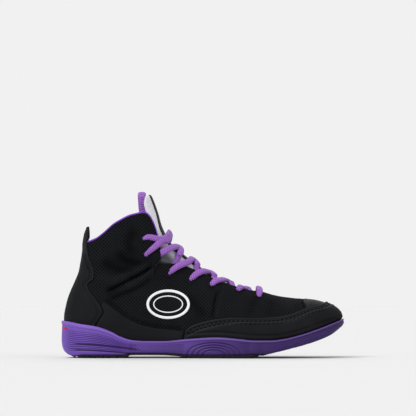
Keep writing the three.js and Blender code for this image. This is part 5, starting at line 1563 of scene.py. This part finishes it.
class TrimOperator(bpy.types.Operator):
    """Binds the collar, sets the eyelets and sews the rows of stitches"""

    bl_idname = "shoe.trim"
    bl_label = "Trim"

    def execute(self, context):
        last, colours = the_last(context), context.scene.shoe_colours
        self.binding(last, colours)
        self.eyelets(last)
        pitch = last.stitch_pitch
        thread = plain("bonded_nylon_thread", "#020203", colours.thread, 2500, 0.6, 0.4)
        top = last.gap + last.overlay
        rand = last.places(np.stack([RAND["along"], RAND["up"]], -1)[1:])
        rows = [(beside(rand, away), top - 0.15) for away in (3, 5.8)]
        sew("rand_stitches", last, rows, thread, stitch_shape(3.1, 1.7, 0.6), pitch)
        edge = last.places(np.stack([COUNTER["along"], COUNTER["up"]], -1)[1:8])
        rows = [(beside(edge, -2.3), top - 0.2), (beside(edge, -4.3), top - 0.2)]
        roof = last.places(np.stack([PANEL["along"], PANEL["up"]], -1))
        rows += [(beside(roof, away), top - 0.2) for away in (-2.2, -4.2)]
        sew("panel_stitches", last, rows, thread, stitch_shape(1.9, 0.75, 0.4), 2.7)
        seams = [(beside(last.places(seam), -2.6), 0.45) for seam in (VAMP_SEAM, TOE_SEAM)]
        seams += [(beside(last.places(CREASES[0][0]), away), 0.1) for away in (-3.2, 3.2)]
        sew("seam_stitches", last, seams, thread, stitch_shape(1.9, 0.7, 0.4), 2.7)
        self.side_ring(last)
        self.heel_bar(last)
        return {"FINISHED"}

    def binding(self, last, colours):
        """Piping along the collar's edge and down both front edges, thinned at its ends."""
        below, top = last.ring(210, [0.97, 1.0])[2]
        normals = normals_of(last.ring(210, np.linspace(0.9, 1, 4))[2], ring=True)[-1]
        n = len(top)
        stop = next(k for k in range(n) if top[k, 2] < last.z_at(1.32) and top[k, 0] > last.x_at(0.3))
        order = np.arange(-stop, stop + 1) % n
        rise = unit((top - below)[order])
        middle = top[order] - normals[order] * last.upper_wall / 2
        taper = np.clip(np.minimum(np.arange(len(order)), np.arange(len(order))[::-1]) / 8, 0.25, 1)
        centres = middle + rise * 0.34 * last.piping
        wide, deep = (last.upper_wall + 0.8) * taper, 0.8 * last.piping * taper
        points, faces, uv = tube(centres, normals[order], rise, wide, deep, 12, 2.6)
        woven = braid("woven_binding", "#5a2f96", colours.binding, 1.6, 0.5)
        weld(piece("collar_piping", points, faces, [woven], uv, replaces=["collar_binding"], slot="binding"))

    def eyelets(self, last):
        """Rings of close thread round the holes."""
        rows = np.array(EYELETS)
        x, z = last.x_at(rows[:, 0]), last.z_at(rows[:, 1])
        points, ups = [], []
        for side in (-1, 1):
            sides = np.full(len(x), side)
            normal = last.normal_at(x, z, sides)
            points.append(last.on_last(x, z, sides) + normal * 0.05)
            ups.append(normal)
        points, ups = np.vstack(points), np.vstack(ups)
        shape = lathe("eyelet_shape", EYELET_PROFILE, 24)
        dark = plain("sewn_eyelet_thread", "#050506", "#17171a", 1800, 0.7, 0.5)
        follow("eyelets", points, ups, np.tile([1.0, 0, 0], (len(points), 1)), shape, dark)

    def side_ring(self, last):
        """Plain printed oval with a thin inner line, on the outer quarter."""
        turn = np.linspace(0, 2 * np.pi, 97)[:-1]
        centre = last.places([OVAL_MIDDLE])[0]
        white = plain("screen_printed_white", "#dfe0e4", "#f2f2f4", 900, 0.6, 0.2)
        for name, (half_length, half_height, wide) in OVAL_BANDS.items():
            rings = []
            for away, high in ((-0.5, 0.02), (-0.42, 0.22), (0.42, 0.22), (0.5, 0.02)):
                x = centre[0] + (half_length + wide * away) * np.cos(turn)
                z = centre[1] + (half_height + wide * away) * np.sin(turn)
                side = np.full(len(turn), -1)
                rings.append(last.on_last(x, z, side) + last.normal_at(x, z, side) * (0.35 + high))
            grid = np.array(rings)
            under = grid - last.normal_at(grid[..., 0], grid[..., 2], np.full(grid.shape[:2], -1)) * 0.5
            points, faces, _ = shell(grid, under, ring=True)
            piece(name, points, faces, [white], slot="mesh_upper")

    def heel_bar(self, last):
        """Small plain red bar let into the sole's side at the heel."""
        at, out, _ = last.outline(SOLE_COLUMNS)
        height = (FLOOR_ROW - BAR_ROW) * PIXEL * 1000
        red = plain("red_inlay", "#c3001c", "#dd0a28", 500, 0.45, 0.1)
        from_back = last.along_at(at[:, 0]) * last.length
        keep = [k for k in range(1, SOLE_COLUMNS) if BAR_START <= from_back[k] <= BAR_END]
        x = at[keep, 0]
        level = (height - last.sole_foot(x)) / (last.sole("lip", x) - last.sole_foot(x))
        far = last.sole_edge(x) + line(WALL, "level", "out")(level)
        rows = []
        for dz, lift in ((-0.8, -0.3), (-0.7, 0.16), (0.7, 0.16), (0.8, -0.3)):
            plan = at[keep] + out[keep] * (far + lift)[:, None]
            rows.append(np.column_stack([plan, np.full(len(keep), height + dz)]))
        grid = np.array(rows)
        under = grid - np.column_stack([out[keep], np.zeros(len(keep))])[None] * 0.8
        points, faces, _ = shell(grid, under)
        piece("heel_inlay", points, faces, [red], slot="midsole_eva")


class ShoePanel(bpy.types.Panel):
    """Lists the steps that build the shoe"""

    bl_idname = "VIEW3D_PT_shoe"
    bl_label = "Wrestling shoe"
    bl_space_type = "VIEW_3D"
    bl_region_type = "UI"
    bl_category = "Shoe"

    def draw(self, context):
        for step in STEPS:
            self.layout.operator(step.bl_idname)
        for group in (context.scene.shoe_sizes, context.scene.shoe_colours):
            box = self.layout.box()
            for name in group.bl_rna.properties.keys():
                if name not in ("rna_type", "name"):
                    box.prop(group, name)


STEPS = (
    StageOperator, LaceOperator, SoleOperator, UpperOperator, OverlayOperator, TongueOperator, TrimOperator,
)
CLASSES = (ShoeSizes, ShoeColours, *STEPS, ShoePanel)


def register():
    for cls in CLASSES:
        bpy.utils.register_class(cls)
    bpy.types.Scene.shoe_sizes = PointerProperty(type=ShoeSizes)
    bpy.types.Scene.shoe_colours = PointerProperty(type=ShoeColours)


def unregister():
    del bpy.types.Scene.shoe_colours
    del bpy.types.Scene.shoe_sizes
    for cls in reversed(CLASSES):
        bpy.utils.unregister_class(cls)


def main():
    register()
    for step in STEPS:
        group, name = step.bl_idname.split(".")
        getattr(getattr(bpy.ops, group), name)()


if __name__ == "__main__":
    main()
